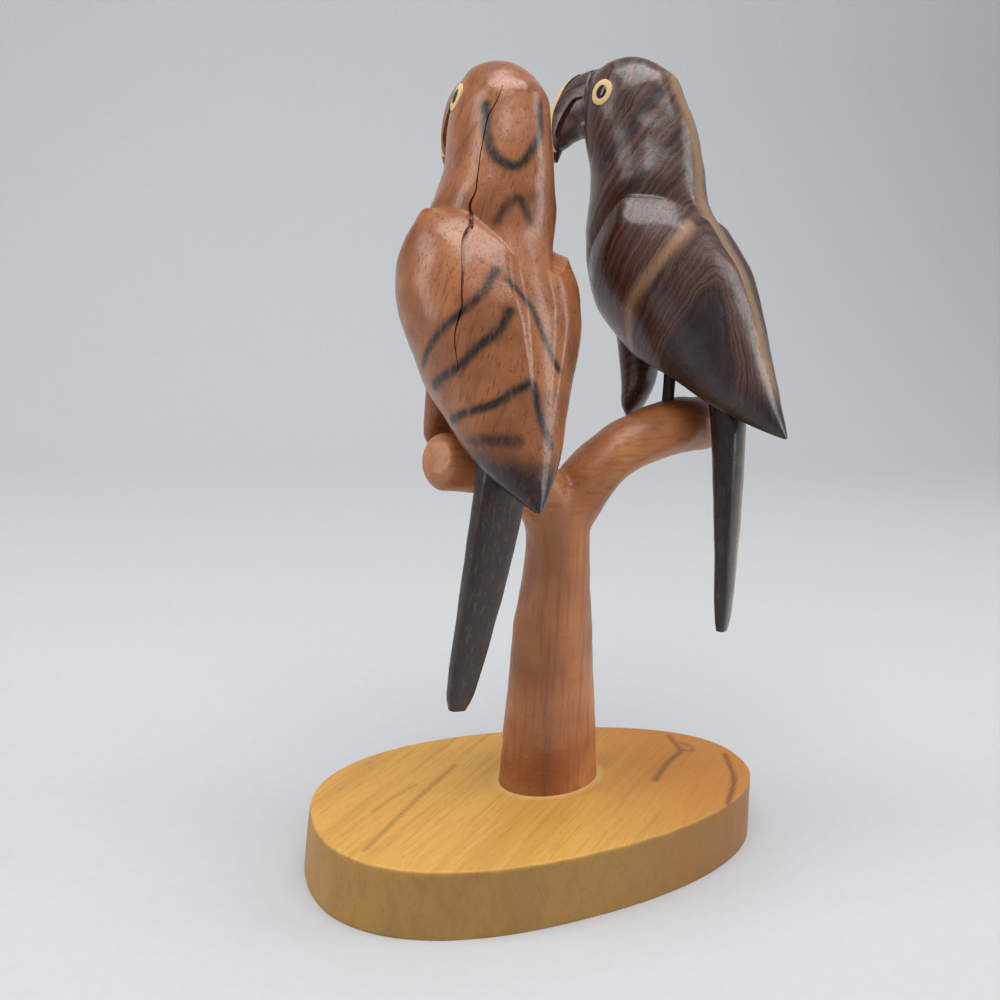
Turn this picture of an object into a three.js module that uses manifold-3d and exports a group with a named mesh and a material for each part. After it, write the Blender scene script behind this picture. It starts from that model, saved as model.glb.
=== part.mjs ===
// Carved parrot pair on a forked branch, standing on an oval board.
// Millimetres, +Z up. The origin is the middle of the board's underside, +X runs along the board
// towards the higher limb, and -Y is the side on which both birds show their backs and tails.
import * as THREE from "three";
import { mergeVertices } from "three/addons/utils/BufferGeometryUtils.js";
import Module from "manifold-3d";

const wasm = await Module();
wasm.setup();

// Driving dimensions of the board: a slightly egg-shaped oval, sawn with a small outward slope.
const BOARD_HALF_LENGTH = 65.3;
const BOARD_HALF_WIDTH = 33.5;
const BOARD_THICKNESS = 19;
const BOARD_ROUNDNESS = 2.27;
const BOARD_EGG = -0.134;
const BOARD_FLARE = 1.02;
const BOARD_EDGE = 0.5;
const BOARD_SEGMENTS = 72;

// The branch: a trunk that bends into the right limb, and a left limb that leaves it lower down.
// Each station is [x, y, z, half width, half depth]. The trunk's oval foot is turned by BRANCH_TURN.
const BRANCH_TURN = THREE.MathUtils.degToRad(7.5);
const TRUNK_AND_RIGHT_LIMB = [
  [3.8, 4.8, 19, 15.3, 10.4],
  [3.4, 4.8, 30, 14.3, 10],
  [2.9, 4.9, 43, 13.2, 9.8],
  [2.1, 5, 67, 11.1, 9.4],
  [2, 5.1, 84, 8.8, 9],
  [2.3, 5.1, 95.7, 8.3, 8.6],
  [6, 5.1, 102.5, 7.8, 8.2],
  [10.1, 5.2, 108.2, 7.4, 8],
  [17.1, 5.3, 114.2, 7.1, 7.8],
  [25.8, 5.8, 118.3, 7.4, 7.8],
  [36, 8.4, 120.5, 7.7, 7.8],
  [45.2, 12.6, 120.2, 7.6, 7.6],
  [55, 18.4, 119.4, 7.2, 7.2],
];
const LEFT_LIMB = [
  [2.1, 5.1, 88, 7.8, 8.2],
  [-2, 4.4, 100, 7.8, 8],
  [-9, 3.1, 108.4, 7.5, 7.9],
  [-17, 2, 112.2, 7.4, 7.8],
  [-26, 1, 113.6, 7.3, 7.6],
  [-37.4, 0, 114.9, 7.1, 7.4],
];
const LIMB_END_ROUNDING = 4;
const LIMB_END_BLUNTNESS = 0.75;
const BRANCH_SIDES = 20;
const BRANCH_STEPS = 24;

// A bird is drawn in its own frame: +Y the way it faces, +X its right, z = 0 the top of the limb
// under it. Its body axis leans back by LEAN from the crown to the wing tip. A point of the body
// is given by s, the distance down that axis, and n, the distance in front of it.
const LEAN = THREE.MathUtils.degToRad(26);
const CROWN_Y = 13.3;
const CROWN_Z = 89.6;
const BODY_TOP = -3.8;
const BODY_TIP = 110.4;

// Profiles down the body axis as [s, value].
const BACK_LINE = [
  [-3.8, 7.4], [-2.5, 2.2], [0, -1.6], [4.2, -4.9], [10, -7.4], [20.8, -7.3], [33.2, -5.2],
  [43.2, -2.7], [56.4, -4.3], [64.7, -5.3], [84.7, -3.7], [110.4, 0.2],
];
const FRONT_LINE = [
  [-3.8, 7.9], [-2.5, 12.6], [0, 15.5], [6.6, 19.4], [13.3, 22], [21.6, 23.8], [28.2, 26.6],
  [38.2, 31.5], [49, 34.5], [57.3, 34.9], [71.4, 29.2], [83.8, 20.3], [94.6, 13.4], [103.8, 6.6],
  [110.4, 0.5],
];
const NECK_HALF_WIDTH = [
  [-3.8, 0], [-2.8, 4.2], [0, 8.2], [5, 10.7], [10, 11.6], [16.6, 11.8], [22.4, 12.5], [27.4, 13.7],
  [33.2, 15.6], [41.5, 17.2], [51.5, 18.9], [66.4, 18.6], [83, 15], [89.6, 12.9], [110.4, 0.6],
];
const WING_HALF_WIDTH = [
  [29.9, 20.8], [36.5, 23.9], [43.2, 23.7], [53.1, 24.1], [62.3, 22.6], [73, 19.2], [83.8, 15.2],
  [94.6, 11.5], [103.8, 6.1], [110.4, 0.4],
];
// How much of the front of a section is closed: 1 a full oval, less where the wings end in an edge.
const CLOSURE = [
  [-3.8, 0.995], [59.8, 0.995], [68, 0.93], [76.4, 0.76], [89.6, 0.58], [110.4, 0.5],
];
// Where the wings' upper rim lies down the axis, over the way from the back, 0, to the breast, 1.
const WING_RIM = [
  [0, 50], [0.1, 50], [0.13, 47.5], [0.19, 44], [0.3, 39.5], [0.4, 37.2], [0.5, 35.3], [0.55, 36.2],
  [0.6, 38], [0.68, 41], [0.76, 44.2], [0.84, 48.5], [0.93, 56], [1, 65],
];
// The rim is a step that rises over RIM_STEP. The wings' inner edges stand beside a valley that
// is VALLEY wide as a share of the way round, and they sink into the back by VALLEY_END. LEDGE is
// the share of the wing's extra width that the step itself gives; the shoulder gains the rest over
// SHOULDER below it.
const RIM_STEP = [-0.7, 1.3];
const LEDGE = 0.5;
const SHOULDER = 9;
const VALLEY = [0.07, 0.125];
const BACK_RAISE = 1.4;
const VALLEY_START = 62;
const VALLEY_END = 93;
const COVE_DEPTH = 0.8;
const COVE_WIDTH = 4.2;
const UNDERSIDE_HOLLOW = 3;
const HOLLOW_SPAN = [58, 75, 93, 110.4];

const RING_HALF = 15;
const CHORD_HALF = 3;
const ROWS_ABOVE = 15;
const ROWS_BELOW = 13;
const CROWN_CROWDING = 1.6;
const FIRST_ROW = 0.032;

// The belly lobe hangs over the far side of the limb: [z, middle y, half depth, half width].
const BELLY = [
  [43, 8.5, 7.5, 9],
  [25, 9.3, 7.8, 10],
  [13.3, 8, 5.4, 9],
  [4, 8, 3.8, 8],
  [-3, 9.2, 2.2, 6],
  [-6.3, 9.6, 0.9, 3],
];
// The tail blade, from its root inside the body to its squared end.
const TAIL = [
  [20, -9.9, 3.6, 6.2],
  [6.6, -15.7, 4.6, 6.9],
  [-5, -18.4, 4, 6.8],
  [-26, -19.8, 3.2, 6.2],
  [-47, -20.7, 2.4, 5],
  [-61, -21, 1.8, 3.8],
  [-65.4, -21, 1.2, 2.4],
];
// The hooked upper bill along its middle line: [y, z, half height, half width].
const BILL_ROOT_Y = 21.6;
const UPPER_BILL = [
  [BILL_ROOT_Y, 80.9, 8.5, 6.8],
  [28.6, 79.3, 8.9, 5.9],
  [33.2, 75.8, 7.3, 4.8],
  [36.4, 71, 4, 3.4],
  [37.6, 67.6, 2, 2.1],
  [37.4, 64.4, 0.4, 0.5],
];
// The lower bill, under the mouth groove.
const LOWER_BILL = [
  [BILL_ROOT_Y, 73.6, 5, 5.4],
  [28.2, 73.8, 3.8, 4.3],
  [32.4, 73, 2.3, 2.8],
  [35, 71.6, 0.4, 0.7],
];
// The pale strip let into the ridge of the upper bill, between two stations of its middle line.
const STRIP_FROM = 0.9;
const STRIP_TO = 4.2;
const STRIP_THICKNESS = 2.7;
const STRIP_TAPER = 0.8;
const STRIP_STEPS = 10;
const STRIP_ARC = 6;
const STRIP_OVERCUT = 2;

// The eyes: a pale ring let into the side of the head, with a dark pupil plugged into it.
const EYE_S = 6.1;
const EYE_AROUND = 0.6;
const EYE_RING_RADIUS = 3.4;
const PUPIL_RADIUS = 1.75;
const EYE_DEPTH = 2.4;
const EYE_PROUD = 0.3;
const PUPIL_PROUD = 0.7;
const EYE_SIDES = 16;
const FIT_GAP = 0.3;

// The pegs that pin the birds to the limbs.
const PEG_RADIUS = 1.7;
const PEG_Y = -1;
const PEG_BOTTOM = -6;
const PEG_TOP = 16;
const PEG_SIDES = 12;

// Where each bird stands and which way it faces, tilts sideways and tilts forwards, in degrees. Then
// what differs from bird to bird: how far down the rims of the left and the right wing are cut, and
// how far the bill reaches and how long the tail is as a share of the tables above.
const LEFT_PERCH = {
  place: [-26.4, 3.7, 120.2], heading: 15, tilt: 9.3, pitch: 3.3,
  rimDrops: [0, 3.6], billReach: 0.8, tailLength: 1,
};
const RIGHT_PERCH = {
  place: [33.9, 11, 128.6], heading: 39.4, tilt: 6.5, pitch: -4.2,
  rimDrops: [1.6, 1.6], billReach: 1, tailLength: 0.965,
};

const WOODS = {
  board: new THREE.MeshStandardMaterial({ color: 0xc8963e, roughness: 0.6, metalness: 0 }),
  branch: new THREE.MeshStandardMaterial({ color: 0xa8693c, roughness: 0.45, metalness: 0 }),
  leftBird: new THREE.MeshStandardMaterial({ color: 0x8a4a22, roughness: 0.3, metalness: 0 }),
  rightBird: new THREE.MeshStandardMaterial({ color: 0x4a2620, roughness: 0.3, metalness: 0 }),
  pale: new THREE.MeshStandardMaterial({ color: 0xe2bf7c, roughness: 0.4, metalness: 0 }),
  dark: new THREE.MeshStandardMaterial({ color: 0x15110f, roughness: 0.2, metalness: 0 }),
};

// A smooth curve through [x, value] stations that never overshoots them.
function through(stations) {
  const xs = stations.map((p) => p[0]);
  const ys = stations.map((p) => p[1]);
  const last = xs.length - 1;
  const slope = (i) => (ys[i + 1] - ys[i]) / (xs[i + 1] - xs[i]);
  const tangents = xs.map((_, i) => {
    if (i === 0) return slope(0);
    if (i === last) return slope(last - 1);
    const [a, b] = [slope(i - 1), slope(i)];
    return a * b <= 0 ? 0 : (2 * a * b) / (a + b);
  });
  return (x) => {
    if (x <= xs[0]) return ys[0];
    if (x >= xs[last]) return ys[last];
    const i = xs.findIndex((_, k) => x < xs[k + 1]);
    const h = xs[i + 1] - xs[i];
    const t = (x - xs[i]) / h;
    const t2 = t * t;
    const t3 = t2 * t;
    return (
      (2 * t3 - 3 * t2 + 1) * ys[i] +
      (t3 - 2 * t2 + t) * h * tangents[i] +
      (3 * t2 - 2 * t3) * ys[i + 1] +
      (t3 - t2) * h * tangents[i + 1]
    );
  };
}

// A soft step from 0 at one value to 1 at the other, whichever of the two is larger.
function smooth(from, to, x) {
  const t = THREE.MathUtils.clamp((x - from) / (to - from), 0, 1);
  return t * t * (3 - 2 * t);
}

// A closed surface through rings of points, capped at both ends with a fan to the ring's middle.
function loft(rings) {
  const count = rings[0].length;
  const points = rings.flat();
  const index = [];
  for (let r = 0; r + 1 < rings.length; r++)
    for (let i = 0; i < count; i++) {
      const j = (i + 1) % count;
      const [a, b] = [r * count + i, r * count + j];
      index.push(a, b, b + count, a, b + count, a + count);
    }
  const cap = (start, ring, flip) => {
    const middle = new THREE.Vector3();
    ring.forEach((p) => middle.addScaledVector(p, 1 / count));
    points.push(middle);
    for (let i = 0; i < count; i++) {
      const [a, b] = [start + i, start + ((i + 1) % count)];
      index.push(points.length - 1, flip ? a : b, flip ? b : a);
    }
  };
  cap(0, rings[0], false);
  cap((rings.length - 1) * count, rings[rings.length - 1], true);
  const geometry = new THREE.BufferGeometry().setFromPoints(points);
  geometry.setIndex(index);
  return geometry;
}

// A geometry as a solid for joining and cutting. It is turned the right way out if needed.
function solid(geometry) {
  const bare = new THREE.BufferGeometry();
  bare.setAttribute("position", geometry.getAttribute("position"));
  bare.setIndex(geometry.index);
  const merged = mergeVertices(bare, 1e-4);
  const position = merged.getAttribute("position");
  const triVerts = new Uint32Array(merged.index.array);
  const [a, b, c] = [new THREE.Vector3(), new THREE.Vector3(), new THREE.Vector3()];
  let volume = 0;
  for (let i = 0; i < triVerts.length; i += 3) {
    a.fromBufferAttribute(position, triVerts[i]);
    b.fromBufferAttribute(position, triVerts[i + 1]);
    c.fromBufferAttribute(position, triVerts[i + 2]);
    volume += a.dot(b.cross(c));
  }
  if (volume < 0)
    for (let i = 0; i < triVerts.length; i += 3)
      [triVerts[i + 1], triVerts[i + 2]] = [triVerts[i + 2], triVerts[i + 1]];
  return new wasm.Manifold(
    new wasm.Mesh({ numProp: 3, vertProperties: position.array, triVerts }),
  );
}

function meshOf(name, body, material) {
  const { vertProperties, triVerts } = body.getMesh();
  const geometry = new THREE.BufferGeometry();
  geometry.setAttribute("position", new THREE.BufferAttribute(vertProperties, 3));
  geometry.setIndex(new THREE.BufferAttribute(triVerts, 1));
  geometry.computeVertexNormals();
  const mesh = new THREE.Mesh(geometry, material);
  mesh.name = name;
  return mesh;
}

// The board's outline at a given size: a superellipse, wider towards one end.
function boardRing(scale, z) {
  const ring = [];
  for (let i = 0; i < BOARD_SEGMENTS; i++) {
    const angle = (2 * Math.PI * i) / BOARD_SEGMENTS;
    const power = 2 / BOARD_ROUNDNESS;
    const along = Math.sign(Math.cos(angle)) * Math.abs(Math.cos(angle)) ** power;
    const across = Math.sign(Math.sin(angle)) * Math.abs(Math.sin(angle)) ** power;
    const x = BOARD_HALF_LENGTH * along * scale;
    const y = BOARD_HALF_WIDTH * across * scale * (1 + BOARD_EGG * along);
    ring.push(new THREE.Vector3(x, y, z));
  }
  return ring;
}

function board() {
  const edge = 1 - BOARD_EDGE / BOARD_HALF_WIDTH;
  const rings = [
    boardRing(BOARD_FLARE, 0),
    boardRing(1, BOARD_THICKNESS - BOARD_EDGE),
    boardRing(edge, BOARD_THICKNESS),
  ];
  return solid(loft(rings));
}

// A limb of oval section through its stations, with its far end drawn in to a rounded stub.
function limb(stations, flatStart) {
  const points = stations.map(([x, y, z]) => new THREE.Vector3(x, y, z));
  const path = new THREE.CatmullRomCurve3(points, false, "centripetal");
  const [width, depth] = [3, 4].map((k) =>
    through(stations.map((p, i) => [i / (stations.length - 1), p[k]])),
  );
  const length = path.getLength();
  const across = new THREE.Vector3(-Math.sin(BRANCH_TURN), Math.cos(BRANCH_TURN), 0);
  const rings = [];
  for (let k = 0; k <= BRANCH_STEPS; k++) {
    const t = Math.sin(((k / BRANCH_STEPS) * Math.PI) / 2);
    const centre = path.getPoint(t);
    const forward = flatStart && k === 0 ? new THREE.Vector3(0, 0, 1) : path.getTangent(t);
    const side = new THREE.Vector3().crossVectors(across, forward).normalize();
    const over = new THREE.Vector3().crossVectors(forward, side).normalize();
    const toEnd = Math.min(((1 - t) * length) / LIMB_END_ROUNDING, 1);
    const draw = Math.sqrt(1 - LIMB_END_BLUNTNESS * (1 - toEnd) ** 2);
    const ring = [];
    for (let i = 0; i < BRANCH_SIDES; i++) {
      const angle = (2 * Math.PI * i) / BRANCH_SIDES;
      const point = centre.clone().addScaledVector(side, draw * width(t) * Math.cos(angle));
      ring.push(point.addScaledVector(over, draw * depth(t) * Math.sin(angle)));
    }
    rings.push(ring);
  }
  return solid(loft(rings));
}

const backLine = through(BACK_LINE);
const frontLine = through(FRONT_LINE);
const neckHalfWidth = through(NECK_HALF_WIDTH);
const wingHalfWidth = through(WING_HALF_WIDTH);
const closure = through(CLOSURE);
const wingRim = through(WING_RIM);

// A point of the bird from its distance s down the body axis, n in front of it, and x to the right.
function bodyPoint(s, n, x) {
  return new THREE.Vector3(
    x,
    CROWN_Y - s * Math.sin(LEAN) + n * Math.cos(LEAN),
    CROWN_Z - s * Math.cos(LEAN) - n * Math.sin(LEAN),
  );
}

// Where the rim lies on one side: it is cut lower by drop, but not at the breast.
function rimAt(around, drop) {
  return wingRim(around) + drop * smooth(0.05, 0.15, around) * smooth(1, 0.6, around);
}

// A point of half a section: around runs from the middle of the back, 0, round to the breast or
// the wing's lower edge, 1. The neck's oval passes into the wing's wider one over the rim.
function cloakPoint(s, around, rim) {
  const below = s - rim;
  const wing = smooth(RIM_STEP[0], RIM_STEP[1], below) * smooth(VALLEY[0], VALLEY[1], around);
  const back = backLine(s) - wing * BACK_RAISE * smooth(VALLEY_END, VALLEY_START, s);
  const spread = wing * THREE.MathUtils.lerp(LEDGE, 1, smooth(RIM_STEP[0], SHOULDER, below));
  const width = THREE.MathUtils.lerp(neckHalfWidth(s), wingHalfWidth(s), spread);
  const close = closure(s);
  const depth = (frontLine(s) - back) / (1 + close);
  const angle = Math.acos(-close) * around;
  const cove = COVE_DEPTH * (1 - wing) * Math.exp(-((Math.min(below, 0) / COVE_WIDTH) ** 2)) *
    smooth(0.1, 0.16, around) * smooth(1, 0.8, around);
  return {
    x: (width - cove) * Math.sin(angle),
    n: back + depth - (depth - cove) * Math.cos(angle),
  };
}

// How far down the body a row lies, as a share t of the way over the rim or of the way below it.
function rowDown(above, t, rim) {
  if (above) return THREE.MathUtils.lerp(BODY_TOP, rim + RIM_STEP[0], t ** CROWN_CROWDING);
  return THREE.MathUtils.lerp(rim + RIM_STEP[1], BODY_TIP, t);
}

// One side of a row of the cloak: the outer surface, and then the underside to the middle.
function cloakHalf(above, t, drop) {
  const half = [];
  let edge;
  for (let i = 0; i <= RING_HALF; i++) {
    const around = i / RING_HALF;
    const rim = rimAt(around, drop);
    const s = rowDown(above, t, rim);
    edge = { s, ...cloakPoint(s, around, rim) };
    half.push(edge);
  }
  const [from, full, fade, end] = HOLLOW_SPAN;
  const hollow = UNDERSIDE_HOLLOW * smooth(from, full, edge.s) * smooth(end, fade, edge.s);
  for (let i = 1; i <= CHORD_HALF; i++) {
    const out = 1 - i / CHORD_HALF;
    half.push({ s: edge.s, x: edge.x * out, n: edge.n - hollow * (1 - out * out) });
  }
  return half;
}

// Head, neck, back and the two wings as one closed form that ends in the shared wing tip.
function cloak(rimDrops) {
  const rows = [];
  for (let r = 0; r < ROWS_ABOVE; r++)
    rows.push([true, THREE.MathUtils.lerp(FIRST_ROW, 1, r / (ROWS_ABOVE - 1))]);
  for (let r = 0; r <= ROWS_BELOW; r++) rows.push([false, r / ROWS_BELOW]);
  const rings = rows.map(([above, t]) => {
    const left = cloakHalf(above, t, rimDrops[0]).map(({ s, n, x }) => bodyPoint(s, n, -x));
    const right = cloakHalf(above, t, rimDrops[1]).map(({ s, n, x }) => bodyPoint(s, n, x));
    return [...right, ...left.slice(1, -1).reverse()];
  });
  return solid(loft(rings));
}

// Each column of a table of stations as a smooth function of the station number.
const columns = (stations) =>
  stations[0].map((_, k) => through(stations.map((station, i) => [i, station[k]])));

// An upright loft of rounded sections through [z, middle y, half depth, half width] stations.
function uprightLoft(stations, steps, sides, squareness) {
  const [z, y, depth, width] = columns(stations);
  const power = 2 / squareness;
  const rings = [];
  for (let k = 0; k <= steps; k++) {
    const t = (k / steps) * (stations.length - 1);
    const ring = [];
    for (let i = 0; i < sides; i++) {
      const angle = (2 * Math.PI * i) / sides;
      const [c, q] = [Math.cos(angle), Math.sin(angle)];
      const x = width(t) * Math.sign(c) * Math.abs(c) ** power;
      ring.push(new THREE.Vector3(x, y(t) + depth(t) * Math.sign(q) * Math.abs(q) ** power, z(t)));
    }
    rings.push(ring);
  }
  return solid(loft(rings));
}

// The bill's stations for a bird whose bill reaches further or less far out from the face.
const reaching = (stations, reach) =>
  stations.map(([y, ...rest]) => [BILL_ROOT_Y + (y - BILL_ROOT_Y) * reach, ...rest]);

// A point of a bill: up from its middle line at station t, and x to the side.
function billPoint([y, z], t, up, x) {
  const e = 0.05;
  const along = new THREE.Vector2(y(t + e) - y(t - e), z(t + e) - z(t - e)).normalize();
  return new THREE.Vector3(x, y(t) - along.y * up, z(t) + along.x * up);
}

// A loft along a curved line in the bird's middle plane, for the two halves of the bill.
function billLoft(stations, steps, sides) {
  const line = columns(stations);
  const [, , height, width] = line;
  const rings = [];
  for (let k = 0; k <= steps; k++) {
    const t = (k / steps) * (stations.length - 1);
    const ring = [];
    for (let i = 0; i < sides; i++) {
      const angle = (2 * Math.PI * i) / sides;
      ring.push(billPoint(line, t, height(t) * Math.cos(angle), width(t) * Math.sin(angle)));
    }
    rings.push(ring);
  }
  return solid(loft(rings));
}

// The strip on the bill's ridge. Its section is the bill's own outer arc closed by a straight line.
// With a gap it is the pocket for the strip, that much larger and open outwards.
function billStrip(reach, gap) {
  const line = columns(reaching(UPPER_BILL, reach));
  const [, , height, width] = line;
  const over = gap > 0 ? STRIP_OVERCUT : 0;
  const rings = [];
  for (let k = 0; k <= STRIP_STEPS; k++) {
    const t = THREE.MathUtils.lerp(STRIP_FROM, STRIP_TO, k / STRIP_STEPS) + gap * (k ? 0.1 : -0.1);
    const grow = 0.12 + 0.88 * smooth(STRIP_FROM, STRIP_FROM + STRIP_TAPER, t);
    const floor = Math.max(height(t) - STRIP_THICKNESS * grow - gap, -0.85 * height(t));
    const reach = Math.acos(floor / height(t));
    const ring = [];
    for (let i = 0; i <= STRIP_ARC; i++) {
      const angle = reach * ((2 * i) / STRIP_ARC - 1);
      const up = i % STRIP_ARC ? (height(t) + over) * Math.cos(angle) : floor;
      ring.push(billPoint(line, t, Math.max(up, floor), (width(t) + over) * Math.sin(angle)));
    }
    rings.push(ring);
  }
  return solid(loft(rings));
}

// Where an eye sits: a frame on the side of the head whose Y axis points out of the surface.
function eyeFrame(side) {
  const at = (s, around) => {
    const { x, n } = cloakPoint(s, around, wingRim(around));
    return bodyPoint(s, n, side * x);
  };
  const e = 0.02;
  const down = at(EYE_S + 1, EYE_AROUND).sub(at(EYE_S - 1, EYE_AROUND));
  const round = at(EYE_S, EYE_AROUND + e).sub(at(EYE_S, EYE_AROUND - e));
  const out = down.cross(round).normalize();
  if (out.x * side < 0) out.negate();
  const turn = new THREE.Quaternion().setFromUnitVectors(new THREE.Vector3(0, 1, 0), out);
  const centre = at(EYE_S, EYE_AROUND);
  return new THREE.Matrix4().compose(centre, turn, new THREE.Vector3(1, 1, 1));
}

// A turned piece from [radius, height] points, as a solid in the frame given.
function turned(profile, sides, frame) {
  const points = profile.map(([r, h]) => new THREE.Vector2(r, h));
  return solid(new THREE.LatheGeometry(points, sides).applyMatrix4(frame));
}

const eyeRing = (frame) => {
  const [inner, outer] = [PUPIL_RADIUS + FIT_GAP, EYE_RING_RADIUS];
  const profile = [
    [inner, -EYE_DEPTH], [outer, -EYE_DEPTH], [outer, 0], [(inner + outer) / 2, EYE_PROUD],
    [inner, EYE_PROUD], [inner, -EYE_DEPTH],
  ];
  return turned(profile, EYE_SIDES, frame);
};

const pupil = (frame) => {
  const profile = [
    [0, -EYE_DEPTH], [PUPIL_RADIUS, -EYE_DEPTH], [PUPIL_RADIUS, EYE_PROUD],
    [PUPIL_RADIUS * 0.6, PUPIL_PROUD * 0.85], [0, PUPIL_PROUD],
  ];
  return turned(profile, EYE_SIDES, frame);
};

const rod = (radius, bottom, top, frame) =>
  turned([[0, bottom], [radius, bottom], [radius, top], [0, top]], PEG_SIDES, frame);

// The peg stands upright in the bird's frame.
const pegFrame = new THREE.Matrix4()
  .makeRotationX(Math.PI / 2)
  .setPosition(0, PEG_Y, 0);
const peg = (gap, bottom, top) => rod(PEG_RADIUS + gap, bottom, top, pegFrame);

function bird({ rimDrops, billReach, tailLength }) {
  const tail = TAIL.map(([z, ...rest]) => [z < 0 ? z * tailLength : z, ...rest]);
  const upperBill = billLoft(reaching(UPPER_BILL, billReach), 10, 16);
  let body = cloak(rimDrops)
    .add(uprightLoft(BELLY, 9, 16, 2.3))
    .add(uprightLoft(tail, 12, 16, 3.2))
    .add(upperBill.subtract(billStrip(billReach, FIT_GAP)))
    .add(billLoft(reaching(LOWER_BILL, billReach), 5, 12));
  for (const side of [-1, 1])
    body = body.subtract(
      rod(EYE_RING_RADIUS + FIT_GAP, -EYE_DEPTH - FIT_GAP, EYE_DEPTH, eyeFrame(side)),
    );
  return body.subtract(peg(FIT_GAP, PEG_BOTTOM, PEG_TOP + FIT_GAP));
}

function perchGroup({ place, heading, tilt, pitch }) {
  const group = new THREE.Group();
  group.position.set(...place);
  group.rotation.order = "ZYX";
  group.rotation.set(
    THREE.MathUtils.degToRad(pitch),
    THREE.MathUtils.degToRad(tilt),
    THREE.MathUtils.degToRad(heading),
  );
  group.updateMatrixWorld(true);
  return group;
}

// A bird with its inlays and its peg, standing on its limb.
function perched(name, perch, wood) {
  const group = perchGroup(perch);
  group.add(meshOf(name, bird(perch), wood));
  group.add(meshOf(`${name}_bill_strip`, billStrip(perch.billReach, 0), WOODS.pale));
  for (const [label, side] of [["left", -1], ["right", 1]]) {
    const frame = eyeFrame(side);
    group.add(meshOf(`${name}_${label}_eye_ring`, eyeRing(frame), WOODS.pale));
    group.add(meshOf(`${name}_${label}_pupil`, pupil(frame), WOODS.dark));
  }
  group.add(meshOf(`${name}_peg`, peg(0, PEG_BOTTOM, PEG_TOP), WOODS.dark));
  return group;
}

// The branch, with a hole in each limb for the peg above it.
function branch() {
  let body = limb(TRUNK_AND_RIGHT_LIMB, true).add(limb(LEFT_LIMB, false));
  for (const perch of [LEFT_PERCH, RIGHT_PERCH]) {
    const frame = perchGroup(perch).matrixWorld.clone().multiply(pegFrame);
    body = body.subtract(
      rod(PEG_RADIUS + FIT_GAP, PEG_BOTTOM - FIT_GAP, PEG_TOP, frame),
    );
  }
  return body;
}

const object = new THREE.Group();
object.add(meshOf("base", board(), WOODS.board));
object.add(meshOf("branch", branch(), WOODS.branch));
object.add(perched("left_parrot", LEFT_PERCH, WOODS.leftBird));
object.add(perched("right_parrot", RIGHT_PERCH, WOODS.rightBird));

export default object;
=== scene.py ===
"""Carved parrot pair on a forked branch: fine carving, woods, inlays, light and camera.

Sizes are millimetres in the constants and while a shape is worked out, and metres in the meshes.
"""

import bpy
import numpy as np
from bpy.props import FloatProperty, FloatVectorProperty, PointerProperty
from mathutils import Matrix


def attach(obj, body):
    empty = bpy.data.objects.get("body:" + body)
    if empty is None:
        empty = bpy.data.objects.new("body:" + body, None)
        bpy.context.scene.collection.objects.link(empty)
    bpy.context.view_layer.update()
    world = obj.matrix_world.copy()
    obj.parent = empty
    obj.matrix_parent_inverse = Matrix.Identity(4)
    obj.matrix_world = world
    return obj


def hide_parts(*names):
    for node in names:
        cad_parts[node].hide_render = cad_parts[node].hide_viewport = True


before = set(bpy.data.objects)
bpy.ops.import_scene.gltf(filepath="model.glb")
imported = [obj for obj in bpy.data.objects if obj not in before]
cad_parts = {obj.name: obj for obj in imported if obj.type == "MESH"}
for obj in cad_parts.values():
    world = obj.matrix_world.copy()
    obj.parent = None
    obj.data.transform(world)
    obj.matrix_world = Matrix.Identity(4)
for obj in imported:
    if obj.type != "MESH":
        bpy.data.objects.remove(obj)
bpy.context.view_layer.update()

bl_info = {
    "name": "Carved parrot pair",
    "version": (1, 0, 0),
    "blender": (4, 5, 0),
    "location": "View3D > Sidebar > Carved parrots",
    "description": "Two carved wooden parrots pegged to a forked branch on an oval board",
    "category": "Add Mesh",
}

MM = 0.001

# The board
BOARD_HALF_LENGTH = 65.3
BOARD_HALF_WIDTH = 33.5
BOARD_THICKNESS = 19
BOARD_ROUNDNESS = 2.27
BOARD_EGG = -0.134
BOARD_FLARE = 1.02
BOARD_SEGMENTS = 560
BOARD_TOP_ROWS = 56
BOARD_SIDE_ROWS = 26
BOARD_EDGE_ROWS = 5
BOARD_UNDERSIDE_ROWS = 6
GRAIN_HEADING = np.radians(40)

# The branch: stations of [x, y, z, half width, half depth]
BRANCH_TURN = np.radians(7.5)
TRUNK_AND_RIGHT_LIMB = [
    (3.8, 4.8, 19, 15.3, 10.4),
    (3.4, 4.8, 30, 14.3, 10),
    (2.9, 4.9, 43, 13.2, 9.8),
    (2.1, 5, 67, 11.1, 9.4),
    (2, 5.1, 84, 8.8, 9),
    (2.3, 5.1, 95.7, 8.3, 8.6),
    (6, 5.1, 102.5, 7.8, 8.2),
    (10.1, 5.2, 108.2, 7.4, 8),
    (17.1, 5.3, 114.2, 7.1, 7.8),
    (25.8, 5.8, 118.3, 7.4, 7.8),
    (36, 8.4, 120.5, 7.7, 7.8),
    (45.2, 12.6, 120.2, 7.6, 7.6),
    (55, 18.4, 119.4, 7.2, 7.2),
]
LEFT_LIMB = [
    (2.1, 5.1, 88, 7.8, 8.2),
    (-2, 4.4, 100, 7.8, 8),
    (-9, 3.1, 108.4, 7.5, 7.9),
    (-17, 2, 112.2, 7.4, 7.8),
    (-26, 1, 113.6, 7.3, 7.6),
    (-37.4, 0, 114.9, 7.1, 7.4),
]
LIMB_END_ROUNDING = 4
LIMB_END_BLUNTNESS = 0.75
LIMB_ROWS = 200
LIMB_SIDES = 96
CROTCH = (1, 5, 99)
CROTCH_REACH = 16

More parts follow.
